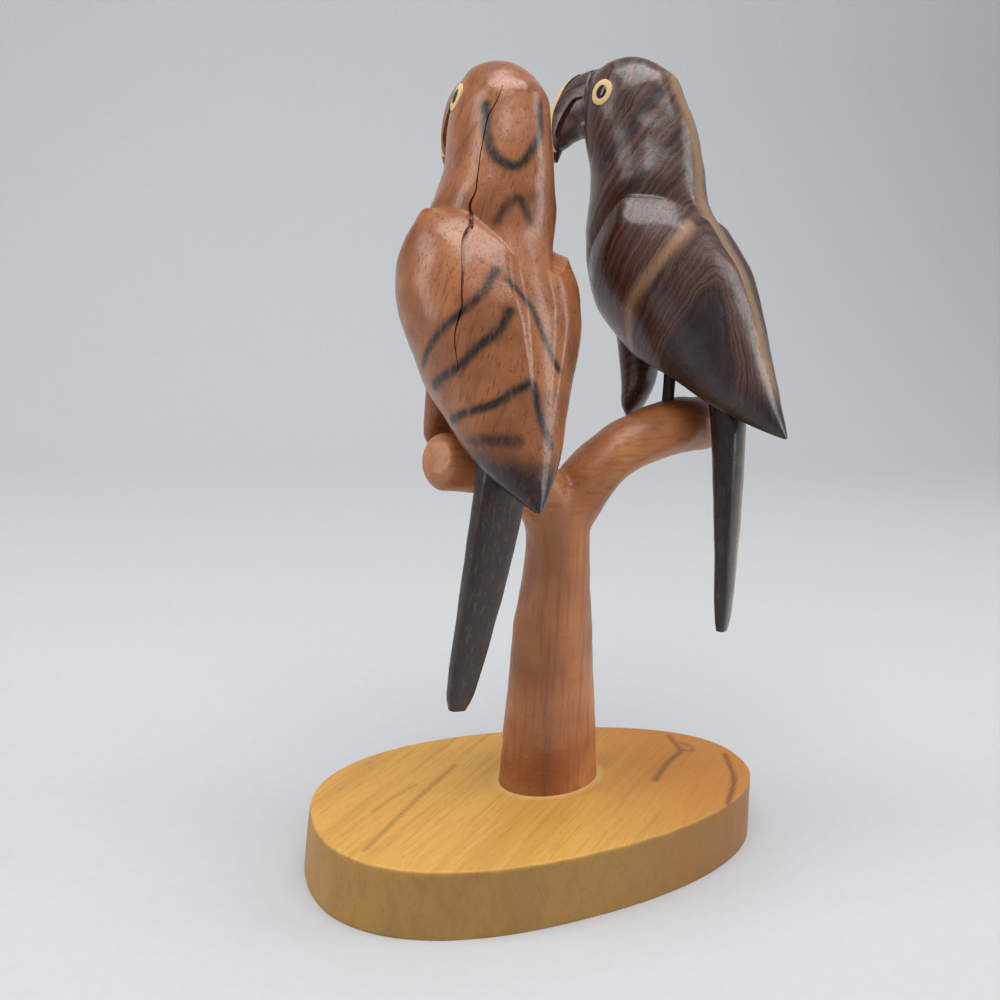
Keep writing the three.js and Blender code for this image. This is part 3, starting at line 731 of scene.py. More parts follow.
def carve_parrot(which, settings):
    """Joins a bird's forms, softens the joins, cuts grooves and pockets, and marks its figure and, on the
    right bird, a painted highlight down the back.
    """
    perch = PERCHES[which]
    reach = perch["bill_reach"]
    tail = [(z * perch["tail_length"] if z < 0 else z, *rest) for z, *rest in TAIL]
    piece = solid(f"carved_{which}_parrot", cloak(perch["rim_drops"]))
    parts = [
        solid("belly", upright_loft(BELLY, 90, 80, BELLY_SQUARENESS)),
        solid("tail", upright_loft(tail, 150, 96, TAIL_SQUARENESS)),
        solid("upper bill", bill_loft(reaching(UPPER_BILL, reach), 70, 72)),
        solid("lower bill", bill_loft(reaching(LOWER_BILL, reach), 50, 48)),
    ]
    combine(piece, parts, "UNION")

    points = points_of(piece)
    s, n, x, share = body_place(points)
    crown = smooth(-1.5, -3.4, s)
    root = np.exp(-(((points[:, 1] - BILL_ROOT_Y - 1.2) / 2.2) ** 2)) * smooth(22, 12, s)
    under = smooth(2.5, 0, np.abs(n - under_surface(s))) * smooth(50, 62, s) * smooth(9, 6, np.abs(x))
    relax(piece, np.clip(np.maximum.reduce([crown, 0.7 * root, 0.4 * under]), 0, 1) * 0.5, 24)

    points = points_of(piece)
    height = settings.tool_ripple / MM * (ripple(points, 15, 3) + 0.5 * ripple(points, 6, 4))
    place_points(piece, points + height[:, None] * normals_of(piece))

    cutters = [
        solid("strip pocket", bill_strip(reach, INLAY_GAP)),
        solid("peg hole", loft(turned(
            [(0.02, PEG_BOTTOM), (PEG_RADIUS + PEG_GAP, PEG_BOTTOM),
             (PEG_RADIUS + PEG_GAP, PEG_TOP + PEG_GAP), (0.02, PEG_TOP + PEG_GAP)],
            (0, PEG_Y, 0), (0, 0, 1), PEG_SIDES,
        ))),
    ]
    for side in (-1, 1):
        centre, out = eye_seat(side)
        radius = EYE_RING_RADIUS + INLAY_GAP
        depth = -EYE_DEPTH - INLAY_GAP
        profile = [(0.02, depth), (radius, depth), (radius, EYE_DEPTH), (0.02, EYE_DEPTH)]
        cutters.append(solid("eye pocket", loft(turned(profile, centre, out, EYE_SIDES))))
    cutters.append(solid("face groove", face_groove(reach)))
    cutters += [solid("mouth groove", shape) for shape in mouth_cutters(reach)]
    if which == "left":
        cutters.append(solid("crack", crack_cutter(perch)))
    combine(piece, cutters, "DIFFERENCE")

    points = points_of(piece)
    s, n, x, share = body_place(points)
    mm_round = share * half_round(s)
    place = np.stack([s, mm_round], -1)
    measured = lambda strokes: [
        (width, strength, [(a, b * float(half_round(np.float64(a)))) for a, b in line])
        for width, strength, line in strokes
    ]
    dark_strokes, pale_strokes = {
        "left": (LEFT_STROKES, LEFT_PALE_STROKES),
        "right": (RIGHT_STROKES, RIGHT_PALE_FIGURE_AND_HIGHLIGHT),
    }[which]
    tail_here = smooth(6, -4, points[:, 2]) * smooth(-8, -12, points[:, 1])
    on_body = 1 - tail_here
    dark = stroke_field(place, measured(dark_strokes)) * on_body
    # On the right bird the pale marks hold a painted highlight down the back as well as pale figure
    pale = stroke_field(place, measured(pale_strokes)) * on_body
    if which == "left":
        dark = np.maximum(dark, 0.97 * tail_here)
        dark = np.maximum(dark, 0.55 * smooth(92, 108, s) * on_body)
    else:
        turned_side = smooth(-1.5, 1.5, points[:, 0] - 0.5)
        dark = np.maximum(dark, 0.8 * tail_here * (1 - turned_side))
        pale = np.maximum(pale, 0.9 * tail_here * turned_side)
    mark(piece, "dark", dark)
    mark(piece, "pale", pale)
    mark(piece, "figure", figure_field(s, mm_round))
    place_points(piece, to_world(points, perch))
    wood = parrot_wood(which, perch, settings)
    finish_piece(piece, wood, [f"{which}_parrot"])
    return piece


def under_surface(s):
    """n of the middle of the wings' underside."""
    close = closure(s)
    depth = (front_line(s) - back_line(s)) / (1 + close)
    edge = back_line(s) + depth * (1 + close)
    start, full, fade, end = HOLLOW_SPAN
    return edge - UNDERSIDE_HOLLOW * smooth(start, full, s) * smooth(end, fade, s)


# The branch

def limb(stations, flat_start, rows, sides):
    """Oval sections carried along a centripetal curve through the stations, drawn in at the end."""
    table = np.array(stations, float)
    centres = centripetal(table[:, :3], np.linspace(0, 1, 1200))
    t = np.sin(np.linspace(0, np.pi / 2, rows))
    path = centripetal(table[:, :3], t)
    forward = centripetal(table[:, :3], np.minimum(t + 1e-4, 1)) - centripetal(
        table[:, :3], np.maximum(t - 1e-4, 0)
    )
    forward = unit(forward)
    if flat_start:
        forward[0] = (0, 0, 1)
    across = np.array([-np.sin(BRANCH_TURN), np.cos(BRANCH_TURN), 0])
    side = unit(np.cross(across, forward))
    over = unit(np.cross(forward, side))
    length = np.linalg.norm(np.diff(centres, axis=0), axis=1).sum()
    share = np.linspace(0, 1, len(stations))
    width = through(list(zip(share, table[:, 3])))(t)
    depth = through(list(zip(share, table[:, 4])))(t)
    to_end = np.minimum((1 - t) * length / LIMB_END_ROUNDING, 1)
    draw = np.sqrt(1 - LIMB_END_BLUNTNESS * (1 - to_end) ** 2)
    angle = np.linspace(0, 2 * np.pi, sides, endpoint=False)
    rings = (
        path[:, None]
        + (draw * width)[:, None, None] * np.cos(angle)[:, None] * side[:, None]
        + (draw * depth)[:, None, None] * np.sin(angle)[:, None] * over[:, None]
    )
    return loft(rings)


def centripetal(points, t):
    """Catmull-Rom curve whose pieces take time by the square root of their length."""
    first = 2 * points[0] - points[1]
    last = 2 * points[-1] - points[-2]
    padded = np.concatenate([[first], points, [last]])
    scaled = t * (len(points) - 1)
    i = np.clip(scaled.astype(int), 0, len(points) - 2)
    weight = scaled - i
    p0, p1, p2, p3 = (padded[i + k] for k in range(4))
    dt0, dt1, dt2 = (
        np.linalg.norm(b - a, axis=1, keepdims=True) ** 0.5 for a, b in ((p0, p1), (p1, p2), (p2, p3))
    )
    m1 = ((p1 - p0) / dt0 - (p2 - p0) / (dt0 + dt1) + (p2 - p1) / dt1) * dt1
    m2 = ((p2 - p1) / dt1 - (p3 - p1) / (dt1 + dt2) + (p3 - p2) / dt2) * dt1
    w = weight[:, None]
    return (
        p1
        + m1 * w
        + (-3 * p1 + 3 * p2 - 2 * m1 - m2) * w**2
        + (2 * p1 - 2 * p2 + m1 + m2) * w**3
    )


def pare(points, centre, normal, depth=1):
    """Flattens what stands beyond a plane, as a knife cut does."""
    normal = unit(np.array(normal, float))
    beyond = np.maximum((points - np.array(centre)) @ normal, 0)
    return points - depth * beyond[:, None] * normal


def carve_branch(settings):
    """The forked branch: two limbs joined, the crotch softened, and a hole under each bird."""
    piece = solid("carved_branch", limb(TRUNK_AND_RIGHT_LIMB, True, LIMB_ROWS, LIMB_SIDES))
    combine(piece, [solid("left limb", limb(LEFT_LIMB, False, 130, LIMB_SIDES))], "UNION")
    points = points_of(piece)
    reach = np.linalg.norm(points - np.array(CROTCH), axis=1)
    relax(piece, 0.5 * smooth(CROTCH_REACH, 0.4 * CROTCH_REACH, reach), 40)
    points = points_of(piece)
    above_foot = smooth(19.2, 23, points[:, 2])
    height = settings.tool_ripple / MM * (1.5 * ripple(points, 18, 7) + ripple(points, 7, 8))
    points = points + (above_foot * height)[:, None] * normals_of(piece)
    points = pare(points, (-36.3, -2.6, 116.5), (-0.8, -0.5, 0.3))
    place_points(piece, points)
    cutters = []
    for perch in PERCHES.values():
        profile = [(0.02, PEG_BOTTOM - PEG_GAP), (PEG_RADIUS + PEG_GAP, PEG_BOTTOM - PEG_GAP),
                   (PEG_RADIUS + PEG_GAP, PEG_TOP), (0.02, PEG_TOP)]
        hole = to_world(turned(profile, (0, PEG_Y, 0), (0, 0, 1), PEG_SIDES), perch)
        cutters.append(solid("peg hole", loft(hole)))
    combine(piece, cutters, "DIFFERENCE")
    points = points_of(piece)
    mark(piece, "limb", smooth(93, 106, points[:, 2]))
    left_half = smooth(3, -3, points[:, 0] - 1)
    mark(piece, "pebble", left_half * smooth(108, 96, points[:, 2]))
    finish_piece(piece, branch_wood(settings), ["branch"])
    return piece


# The board

BOARD_DARK_STROKES = [
    (1.1, 0.55, [(-55.3, -16.4), (-38, 1), (-20.3, 17.6)]),
    (0.9, 0.4, [(-49.4, 0), (-42, 5.5), (-34.6, 10.1)]),
    (1.5, 0.75, [(50.5, 17), (49.3, 8.1), (42, 2.5), (33, -5.8)]),
    (1.1, 0.6, [(52, 12), (54, 9), (52.5, 6.6), (49.5, 8.5)]),
    (1.3, 0.85, [(61.5, 2), (57, -10), (46.9, -22.7)]),
]


def board_rings():
    """Superellipse rings from the middle of the underside, out, up the side and in over the top."""
    edge = 0.6
    under = np.linspace(0.02, 1, BOARD_UNDERSIDE_ROWS, endpoint=False)
    corner = np.linspace(0, np.pi / 2, BOARD_EDGE_ROWS)
    side = np.linspace(0, 1, BOARD_SIDE_ROWS + 2)[1:-1]
    inward = np.linspace(1, 0.01, BOARD_TOP_ROWS)[1:]
    low = 0.3 * edge
    scale = np.concatenate([
        under * (1 - low / BOARD_HALF_WIDTH),
        1 - low / BOARD_HALF_WIDTH * (1 - np.sin(corner)),
        np.ones(len(side)),
        1 - edge / BOARD_HALF_WIDTH * (1 - np.cos(corner)),
        inward * (1 - edge / BOARD_HALF_WIDTH),
    ])
    z = np.concatenate([
        np.zeros(len(under)),
        low * (1 - np.cos(corner)),
        lerp(low, BOARD_THICKNESS - edge, side),
        BOARD_THICKNESS - edge * (1 - np.sin(corner)),
        np.full(len(inward), float(BOARD_THICKNESS)),
    ])
    scale = scale * lerp(BOARD_FLARE, 1, z / BOARD_THICKNESS)
    angle = np.linspace(0, 2 * np.pi, BOARD_SEGMENTS, endpoint=False)[None]
    along = signed_power(np.cos(angle), 2 / BOARD_ROUNDNESS)
    across = signed_power(np.sin(angle), 2 / BOARD_ROUNDNESS)
    x = BOARD_HALF_LENGTH * along * scale[:, None]
    y = BOARD_HALF_WIDTH * across * scale[:, None] * (1 + BOARD_EGG * along)
    return np.stack(np.broadcast_arrays(x, y, z[:, None]), -1)


def carve_board(settings):
    """The board, with small chips in its rim and the marks of its figure."""
    points, triangles = loft(board_rings())
    chips = [
        (-61.3, -15, 1.2, 0.5), (-64.9, -5.3, 1, 0.4), (30.9, -28.7, 0.9, 0.4),
        (47.1, -22.5, 0.9, 0.4),
    ]
    top = smooth(16.5, 18.5, points[:, 2])
    for x, y, size, depth in chips:
        gap = np.hypot(points[:, 0] - x, points[:, 1] - y)
        points[:, 2] -= depth * top * smooth(size, 0, gap)
    side = smooth(18.9, 18.2, points[:, 2]) * smooth(0, 0.4, points[:, 2])
    wave = 0.12 * ripple(points * (1, 1, 0.4), 9, 11) * side
    points[:, :2] *= (1 + wave / BOARD_HALF_LENGTH)[:, None]
    piece = solid("sawn_board", (points, triangles))
    top_here = smooth(18, 18.9, points[:, 2])
    mark(piece, "dark", top_here * stroke_field(points[:, :2], BOARD_DARK_STROKES))
    mark(piece, "side", 1 - top_here)
    finish_piece(piece, board_wood(settings), ["base"])
    return piece


# Inlays and pegs

def set_inlays(which, settings):
    """A bird's bill strip, eye rings and pupils."""
    perch = PERCHES[which]
    pale = pale_wood(settings)
    dark = pupil_wood(settings)
    points, triangles = bill_strip(perch["bill_reach"], 0)
    strip = solid(f"pale_{which}_bill_strip", (to_world(points, perch), triangles))
    finish_piece(strip, pale, [f"{which}_parrot_bill_strip"])
    for label, side in (("left", -1), ("right", 1)):
        centre, out = eye_seat(side)
        inner, outer = PUPIL_RADIUS + INLAY_GAP, EYE_RING_RADIUS
        share = np.linspace(0, 1, 9)
        crown = [
            (lerp(outer, inner, t), EYE_PROUD * (1 - (1 - t) ** 2) * (1 - 0.2 * t)) for t in share
        ]
        profile = [(inner, -EYE_DEPTH), (outer, -EYE_DEPTH)] + crown
        points, triangles = tube_shape(profile, centre, out, EYE_SIDES)
        ring = solid(f"{which}_{label}_eye_inlay", (to_world(points, perch), triangles))
        finish_piece(ring, pale, [f"{which}_parrot_{label}_eye_ring"])
        turn = np.linspace(0, np.pi / 2, 10)
        dome = [
            (max(PUPIL_RADIUS * np.cos(a), 0.01), PUPIL_PROUD * (0.2 + 0.8 * np.sin(a))) for a in turn
        ]
        profile = [(0.01, -EYE_DEPTH), (PUPIL_RADIUS, -EYE_DEPTH)] + dome
        rings = turned(profile, centre, out, EYE_SIDES)
        plug = solid(f"{which}_{label}_pupil_plug", loft(to_world(rings, perch)))
        finish_piece(plug, dark, [f"{which}_parrot_{label}_pupil"], 60)


def set_peg(which, settings):
    """A whittled peg: a turned rod with a slightly uneven surface."""
    height = np.linspace(PEG_BOTTOM, PEG_TOP, 90)
    profile = [(0.01, PEG_BOTTOM)] + [(PEG_RADIUS, z) for z in height] + [(0.01, PEG_TOP)]
    rings = turned(profile, (0, PEG_Y, 0), (0, 0, 1), PEG_SIDES)
    flat = rings.reshape(-1, 3)
    wave = 0.06 * ripple(flat * (1, 1, 0.3), 2.5, 21)
    flat[:, :2] += (flat[:, :2] - (0, PEG_Y)) * (wave / PEG_RADIUS)[:, None]
    peg = solid(f"{which}_whittled_peg", loft(to_world(flat.reshape(rings.shape), PERCHES[which])))
    finish_piece(peg, peg_wood(settings), [f"{which}_parrot_peg"])


# Woods

def colour(hexadecimal):
    """Linear colour, with alpha, from a six-digit screen colour."""
    screen = np.array([int(hexadecimal[k : k + 2], 16) for k in (0, 2, 4)]) / 255
    linear = np.where(screen <= 0.04045, screen / 12.92, ((screen + 0.055) / 1.055) ** 2.4)
    return (*linear.tolist(), 1)


class Finish:
    """A material's nodes. Each call adds a node and gives back its output socket."""

    def __init__(self, name):
        self.material = bpy.data.materials.new(name)
        self.material.use_nodes = True
        self.tree = self.material.node_tree
        self.shader = self.tree.nodes["Principled BSDF"]

    def feed(self, socket, value):
        if isinstance(value, bpy.types.NodeSocket):
            self.tree.links.new(value, socket)
        else:
            socket.default_value = value

    def add(self, kind, inputs, output=0, **settings):
        node = self.tree.nodes.new("ShaderNode" + kind)
        for name, value in settings.items():
            setattr(node, name, value)
        for key, value in inputs.items():
            self.feed(node.inputs[key], value)
        return node.outputs[output]

    def place(self, location=(0, 0, 0), rotation=(0, 0, 0), scale=(MM, MM, MM)):
        """Object coordinates carried into a frame of their own, in millimetres."""
        where = self.add("TexCoord", {}, "Object")
        inputs = {"Vector": where, "Location": location, "Rotation": rotation, "Scale": scale}
        return self.add("Mapping", inputs, vector_type="TEXTURE")

    def stretch(self, vector, scale):
        return self.add("Mapping", {"Vector": vector, "Scale": scale}, vector_type="POINT")

    def noise(self, vector, scale, detail=2.0, roughness=0.5, distortion=0.0):
        inputs = {
            "Vector": vector, "Scale": scale, "Detail": detail, "Roughness": roughness,
            "Distortion": distortion,
        }
        return self.add("TexNoise", inputs)

    def line_noise(self, value, scale, detail=2.0, roughness=0.5):
        inputs = {"W": value, "Scale": scale, "Detail": detail, "Roughness": roughness}
        return self.add("TexNoise", inputs, noise_dimensions="1D")

    def attribute(self, name):
        return self.add("Attribute", {}, "Fac", attribute_name=name)

    def math(self, operation, a, b=0.0, clamp=False):
        return self.add("Math", {0: a, 1: b}, operation=operation, use_clamp=clamp)

    def span(self, value, low, high, to_low=0.0, to_high=1.0):
        """Soft step of a value between two limits."""
        inputs = {"Value": value, "From Min": low, "From Max": high, "To Min": to_low, "To Max": to_high}
        return self.add("MapRange", inputs, interpolation_type="SMOOTHSTEP")

    def mix(self, factor, a, b, blend="MIX"):
        return self.add("Mix", {0: factor, 6: a, 7: b}, 2, data_type="RGBA", blend_type=blend)

    def ramp(self, value, stops):
        node = self.tree.nodes.new("ShaderNodeValToRGB")
        elements = node.color_ramp.elements
        while len(elements) < len(stops):
            elements.new(0.5)
        for element, (position, shade) in zip(elements, stops):
            element.position = position
            element.color = shade
        self.feed(node.inputs[0], value)
        return node.outputs[0]

    def bump(self, height, distance, strength=1.0):
        inputs = {"Height": height, "Distance": distance, "Strength": strength}
        return self.add("Bump", inputs, "Normal")

    def wear(self, shade, roughness, normal=None, **plain):
        """Feeds the shader and sets its plain values by their names with spaces for underscores."""
        self.feed(self.shader.inputs["Base Color"], shade)
        self.feed(self.shader.inputs["Roughness"], roughness)
        if normal:
            self.feed(self.shader.inputs["Normal"], normal)
        for name, value in plain.items():
            self.shader.inputs[name.replace("_", " ")].default_value = value
        return self.material


def parrot_wood(which, perch, settings):
    """Polished figured wood: open pores along the grain, cloudy tone, growth layers and dark figure."""
    wood = Finish(f"{which}_parrot_wood")
    turn = tuple(np.radians([perch["pitch"], perch["tilt"], perch["heading"]]))
    here = wood.place(tuple(np.array(perch["place"]) * MM), turn)
    light, middle, deep, ink, tan = {
        "left": (settings.left_light, settings.left_middle, settings.left_deep,
                 colour("21120d"), colour("a9713f")),
        "right": (settings.right_light, settings.right_middle, settings.right_deep,
                  colour("150c0b"), colour("b08a62")),
    }[which]
    pores = wood.noise(wood.stretch(here, (2.6, 2.6, 0.16)), 1.0, 3, 0.6)
    fibres = wood.noise(wood.stretch(here, (0.9, 0.9, 0.04)), 1.0, 4, 0.6, 0.4)
    cloud = wood.noise(here, 0.07, 3, 0.55)
    layers = wood.attribute("figure")
    waver = wood.math("MULTIPLY", wood.noise(here, 0.16, 3, 0.6), 3.2)
    waver = wood.math("ADD", layers, waver)
    bands = wood.line_noise(waver, 0.75 if which == "right" else 0.3, 3, 0.62)
    tone = wood.mix(wood.span(cloud, 0.32, 0.68), (*middle[:3], 1), (*light[:3], 1))
    if which == "right":
        shade = wood.ramp(bands, [
            (0.3, colour("1c100f")), (0.43, (*deep[:3], 1)), (0.52, (*middle[:3], 1)),
            (0.62, (*light[:3], 1)), (0.72, (*middle[:3], 1)),
        ])
        tone = wood.mix(0.15, shade, tone)
        core = wood.span(layers, 9.0, 4.0)
        tone = wood.mix(wood.math("MULTIPLY", core, 0.75), tone, colour("1b1012"))
    else:
        tone = wood.mix(wood.span(bands, 0.36, 0.22, 0, 0.55), tone, (*deep[:3], 1))
    tone = wood.mix(wood.span(fibres, 0.5, 0.3, 0, 0.45), tone, (*deep[:3], 1))
    # Pale marks in the tan tone: figure, and on the right bird also a painted highlight down the back
    tone = wood.mix(wood.math("MULTIPLY", wood.attribute("pale"), 0.85), tone, tan)
    patches = wood.noise(wood.stretch(here, (0.9, 0.9, 0.3)), 1.0, 4, 0.7)
    broken = wood.span(patches, 0.2, 0.62, 0.55, 1.25)
    ink_here = wood.math("MULTIPLY", wood.attribute("dark"), broken, True)
    tone = wood.mix(ink_here, tone, ink)
    pore_here = wood.span(pores, 0.41, 0.33)
    tone = wood.mix(wood.math("MULTIPLY", pore_here, 0.6), tone, ink)
    height = wood.math("SUBTRACT", wood.noise(here, 0.5, 3, 0.6), wood.math("MULTIPLY", pore_here, 0.5))
    gloss = wood.span(wood.noise(here, 0.25, 3, 0.6), 0.3, 0.7, settings.gloss, settings.gloss + 0.12)
    return wood.wear(
        tone, gloss, wood.bump(height, 0.00012, 0.8),
        Coat_Weight=0.35, Coat_Roughness=0.16, Specular_IOR_Level=0.5,
    )


def branch_wood(settings):
    """Satin orange-brown wood: fibres along trunk and limbs, a pebbled left flank, fine cross scratches."""
    wood = Finish("branch_wood")
    here = wood.place()
    limb_here = wood.attribute("limb")
    upright = wood.noise(wood.stretch(here, (0.7, 0.7, 0.04)), 1.0, 4, 0.6, 0.3)
    lying = wood.noise(wood.stretch(here, (0.05, 0.8, 0.8)), 1.0, 4, 0.6, 0.3)
    fibres = wood.add("Mix", {0: limb_here, 2: upright, 3: lying})
    cloud = wood.noise(here, 0.05, 3, 0.5)
    light, deep = (*settings.light[:3], 1), (*settings.deep[:3], 1)
    tone = wood.mix(wood.span(cloud, 0.3, 0.7), deep, light)
    tone = wood.mix(wood.span(fibres, 0.52, 0.34, 0, 0.4), tone, colour("7a4526"))
    pebble_here = wood.attribute("pebble")
    tone = wood.mix(wood.math("MULTIPLY", pebble_here, 0.35), tone, colour("5f3219"))
    pebbles = wood.noise(here, 1.1, 2, 0.5)
    scratches = wood.noise(wood.stretch(here, (0.12, 0.12, 2.6)), 1.0, 3, 0.7)
    smooth_flank = wood.math("SUBTRACT", 1.0, pebble_here)
    scratch_here = wood.math("MULTIPLY", wood.span(scratches, 0.6, 0.7), smooth_flank)
    tone = wood.mix(wood.math("MULTIPLY", scratch_here, 0.25), tone, colour("d9a878"))
    relief = wood.math("MULTIPLY", pebbles, wood.math("MULTIPLY_ADD", pebble_here, 1.1))
    relief = wood.math("ADD", relief, wood.math("MULTIPLY", wood.noise(here, 0.9, 4, 0.7), 0.35))
    rough = wood.span(wood.noise(here, 0.4, 3, 0.6), 0.3, 0.7, 0.36, 0.5)
    return wood.wear(
        tone, rough, wood.bump(relief, 0.00022, 0.7), Coat_Weight=0.15, Coat_Roughness=0.25
    )


def board_wood(settings):
    """Sawn golden plank: wavy grain along its heading, warmer towards the right, browner side."""
    wood = Finish("board_wood")
    here = wood.place(rotation=(0, 0, GRAIN_HEADING))
    fibres = wood.noise(wood.stretch(here, (0.05, 1.3, 0.5)), 1.0, 4, 0.65, 0.2)
    bands = wood.noise(wood.stretch(here, (0.012, 0.16, 0.05)), 1.0, 3, 0.6, 0.8)
    pores = wood.noise(wood.stretch(here, (0.35, 3.6, 3.6)), 1.0, 2, 0.6)
    plain = wood.place()
    split = wood.add("SeparateXYZ", {0: plain}, "X")
    right = wood.span(wood.math("ADD", split, wood.math("MULTIPLY", bands, 40.0)), 20.0, 70.0)
    golden, warm = (*settings.golden[:3], 1), (*settings.warm[:3], 1)
    tone = wood.mix(right, golden, warm)
    tone = wood.mix(wood.span(bands, 0.55, 0.35, 0, 0.35), tone, colour("b07a33"))
    tone = wood.mix(wood.span(fibres, 0.5, 0.32, 0, 0.3), tone, colour("9b6a2c"))
    tone = wood.mix(wood.span(pores, 0.4, 0.3, 0, 0.3), tone, colour("7a4f22"))
    side = wood.attribute("side")
    tone = wood.mix(wood.math("MULTIPLY", side, 0.5), tone, colour("7d5a30"))
    tone = wood.mix(wood.math("MULTIPLY", wood.attribute("dark"), 0.85), tone, colour("54301c"))
    foot = wood.place((0.0038, 0.0048, 0.019), (0, 0, BRANCH_TURN), (0.0153, 0.0104, 1))
    reach = wood.add("VectorMath", {0: foot}, "Value", operation="LENGTH")
    dust = wood.span(reach, 1.22, 1.02)
    tone = wood.mix(wood.math("MULTIPLY", dust, 0.4), tone, colour("ecd193"))
    relief = wood.math("ADD", wood.math("MULTIPLY", fibres, 0.6), wood.math("MULTIPLY", pores, 0.5))
    return wood.wear(tone, 0.52, wood.bump(relief, 0.00015, 0.7), Coat_Weight=0.05, Coat_Roughness=0.4)


def pale_wood(settings):
    """Straw-coloured inlay with faint fibres."""
    if "pale_inlay" in bpy.data.materials:
        return bpy.data.materials["pale_inlay"]
    wood = Finish("pale_inlay")
    here = wood.place()
    fibres = wood.noise(wood.stretch(here, (1.6, 1.6, 0.25)), 1.0, 3, 0.6)
    tone = wood.mix(wood.span(fibres, 0.3, 0.7), (*settings.pale_deep[:3], 1), (*settings.pale[:3], 1))
    return wood.wear(tone, 0.36, wood.bump(fibres, 0.00006, 0.6), Coat_Weight=0.3, Coat_Roughness=0.2)


def pupil_wood(settings):
    """Polished black-brown plug."""
    if "pupil_plug" in bpy.data.materials:
        return bpy.data.materials["pupil_plug"]
    wood = Finish("pupil_plug")
    grain = wood.noise(wood.place(), 1.5, 2, 0.5)
    tone = wood.mix(grain, (*settings.pupil[:3], 1), colour("1d1310"))
    return wood.wear(tone, 0.14, wood.bump(grain, 0.00003, 0.5), Coat_Weight=0.6, Coat_Roughness=0.06)


def peg_wood(settings):
    """Dark peg with fibres along it."""
    if "peg_wood" in bpy.data.materials:
        return bpy.data.materials["peg_wood"]
    wood = Finish("peg_wood")
    fibres = wood.noise(wood.stretch(wood.place(), (3, 3, 0.3)), 1.0, 3, 0.6)
    tone = wood.mix(fibres, colour("120d0c"), colour("33241d"))
    return wood.wear(tone, 0.45, wood.bump(fibres, 0.0001, 0.6), Coat_Weight=0.1, Coat_Roughness=0.3)


# Stage

def stage_sheet():
    """Floor and wall as one sheet: level, then a quarter bend, then upright, square to the view."""
    bend = np.linspace(0, np.pi / 2, 24)
    run = np.concatenate([
        np.linspace(-FLOOR_REACH, WALL_DISTANCE - WALL_BEND, 40, endpoint=False),
        WALL_DISTANCE - WALL_BEND + WALL_BEND * np.sin(bend),
        np.full(30, WALL_DISTANCE),
    ])
    rise = np.concatenate([
        np.zeros(40),
        WALL_BEND * (1 - np.cos(bend)),
        np.linspace(WALL_BEND, WALL_HEIGHT, 31)[1:],
    ])
    width = np.linspace(-STAGE_HALF_WIDTH, STAGE_HALF_WIDTH, 30)
    forward = np.array([-np.sin(STAGE_AZIMUTH), np.cos(STAGE_AZIMUTH), 0])
    right = np.array([np.cos(STAGE_AZIMUTH), np.sin(STAGE_AZIMUTH), 0])
    up = np.array([0, 0, 1])
    grid = (
        run[:, None, None] * forward + rise[:, None, None] * up + width[None, :, None] * right
    )
    rows, count = grid.shape[:2]
    row, column = np.meshgrid(np.arange(rows - 1), np.arange(count - 1), indexing="ij")
    a = (row * count + column).ravel()
    faces = np.concatenate([
        np.stack([a, a + 1, a + count + 1], -1),
        np.stack([a, a + count + 1, a + count], -1),
    ])
    return grid.reshape(-1, 3) / MM, faces


def stage_paper(settings):
    """Plain pale paper with a faint grain, the same on the floor and up the wall."""
    paper = Finish("stage_paper")
    tint = np.array(settings.paper[:3])
    darker, lighter = [(*(share * tint).tolist(), 1) for share in PAPER_SHADES]
    grain = paper.noise(paper.place(scale=(1, 1, 1)), 300.0, 2, 0.5)
    return paper.wear(paper.mix(grain, darker, lighter), 0.7, Specular_IOR_Level=0.15)


def area_light(name, place, target, size, power, tint=(1, 1, 1)):
    """Soft rectangular light at a place, facing a target."""
    data = bpy.data.lights.new(name, "AREA")
    data.shape = "RECTANGLE"
    data.size, data.size_y = size
    data.energy = power
    data.color = tint
    back = unit(np.array(place, float) - np.array(target, float))
    helper = np.array([0, 1.0, 0]) if abs(back[2]) > 0.95 else np.array([0, 0, 1.0])
    right = unit(np.cross(helper, back))
    up = np.cross(back, right)
    light = bpy.data.objects.new(name, data)
    light.matrix_world = framed(right, up, back, place)
    bpy.context.scene.collection.objects.link(light)
    return light


def framed(right, up, back, place):
    """Matrix with these axes as its columns, at a place."""
    matrix = np.eye(4)
    matrix[:3, 0], matrix[:3, 1], matrix[:3, 2], matrix[:3, 3] = right, up, back, place
    return Matrix(matrix.tolist())


def set_camera():
    """Camera at its place, turned by azimuth, elevation and a little roll."""
    azimuth, elevation = CAMERA_AZIMUTH, CAMERA_ELEVATION
    back = np.array([
        np.sin(azimuth) * np.cos(elevation), -np.cos(azimuth) * np.cos(elevation), np.sin(elevation),
    ])
    right = unit(np.cross(-back, [0, 0, 1]))
    up = np.cross(right, -back)
    c, q = np.cos(CAMERA_ROLL), np.sin(CAMERA_ROLL)
    data = bpy.data.cameras.new("camera")
    data.sensor_width = 36
    data.lens = CAMERA_LENS
    data.clip_start = 0.01
    camera = bpy.data.objects.new("camera", data)
    camera.matrix_world = framed(c * right + q * up, c * up - q * right, back, CAMERA_PLACE)
    bpy.context.scene.collection.objects.link(camera)
    bpy.context.scene.camera = camera


def set_lights(settings):
    """A wide soft light overhead, a strip on each side, and a dim even surround."""
    power = settings.key_power
    middle = (0, 0, 0.12)
    area_light("overhead", (-0.05, -0.1, 0.95), middle, (0.9, 0.7), power)
    area_light("left strip", (-0.75, 0.1, 0.45), middle, (0.25, 0.7), 0.22 * power)
    area_light("right strip", (0.7, -0.25, 0.4), middle, (0.25, 0.7), 0.22 * power)
    world = bpy.data.worlds.new("surround")
    world.use_nodes = True
    surround = world.node_tree.nodes["Background"]
    surround.inputs[0].default_value = (*settings.surround[:3], 1)
    surround.inputs[1].default_value = 0.5
    bpy.context.scene.world = world
    bpy.context.scene.view_settings.view_transform = "Standard"


# Add-on

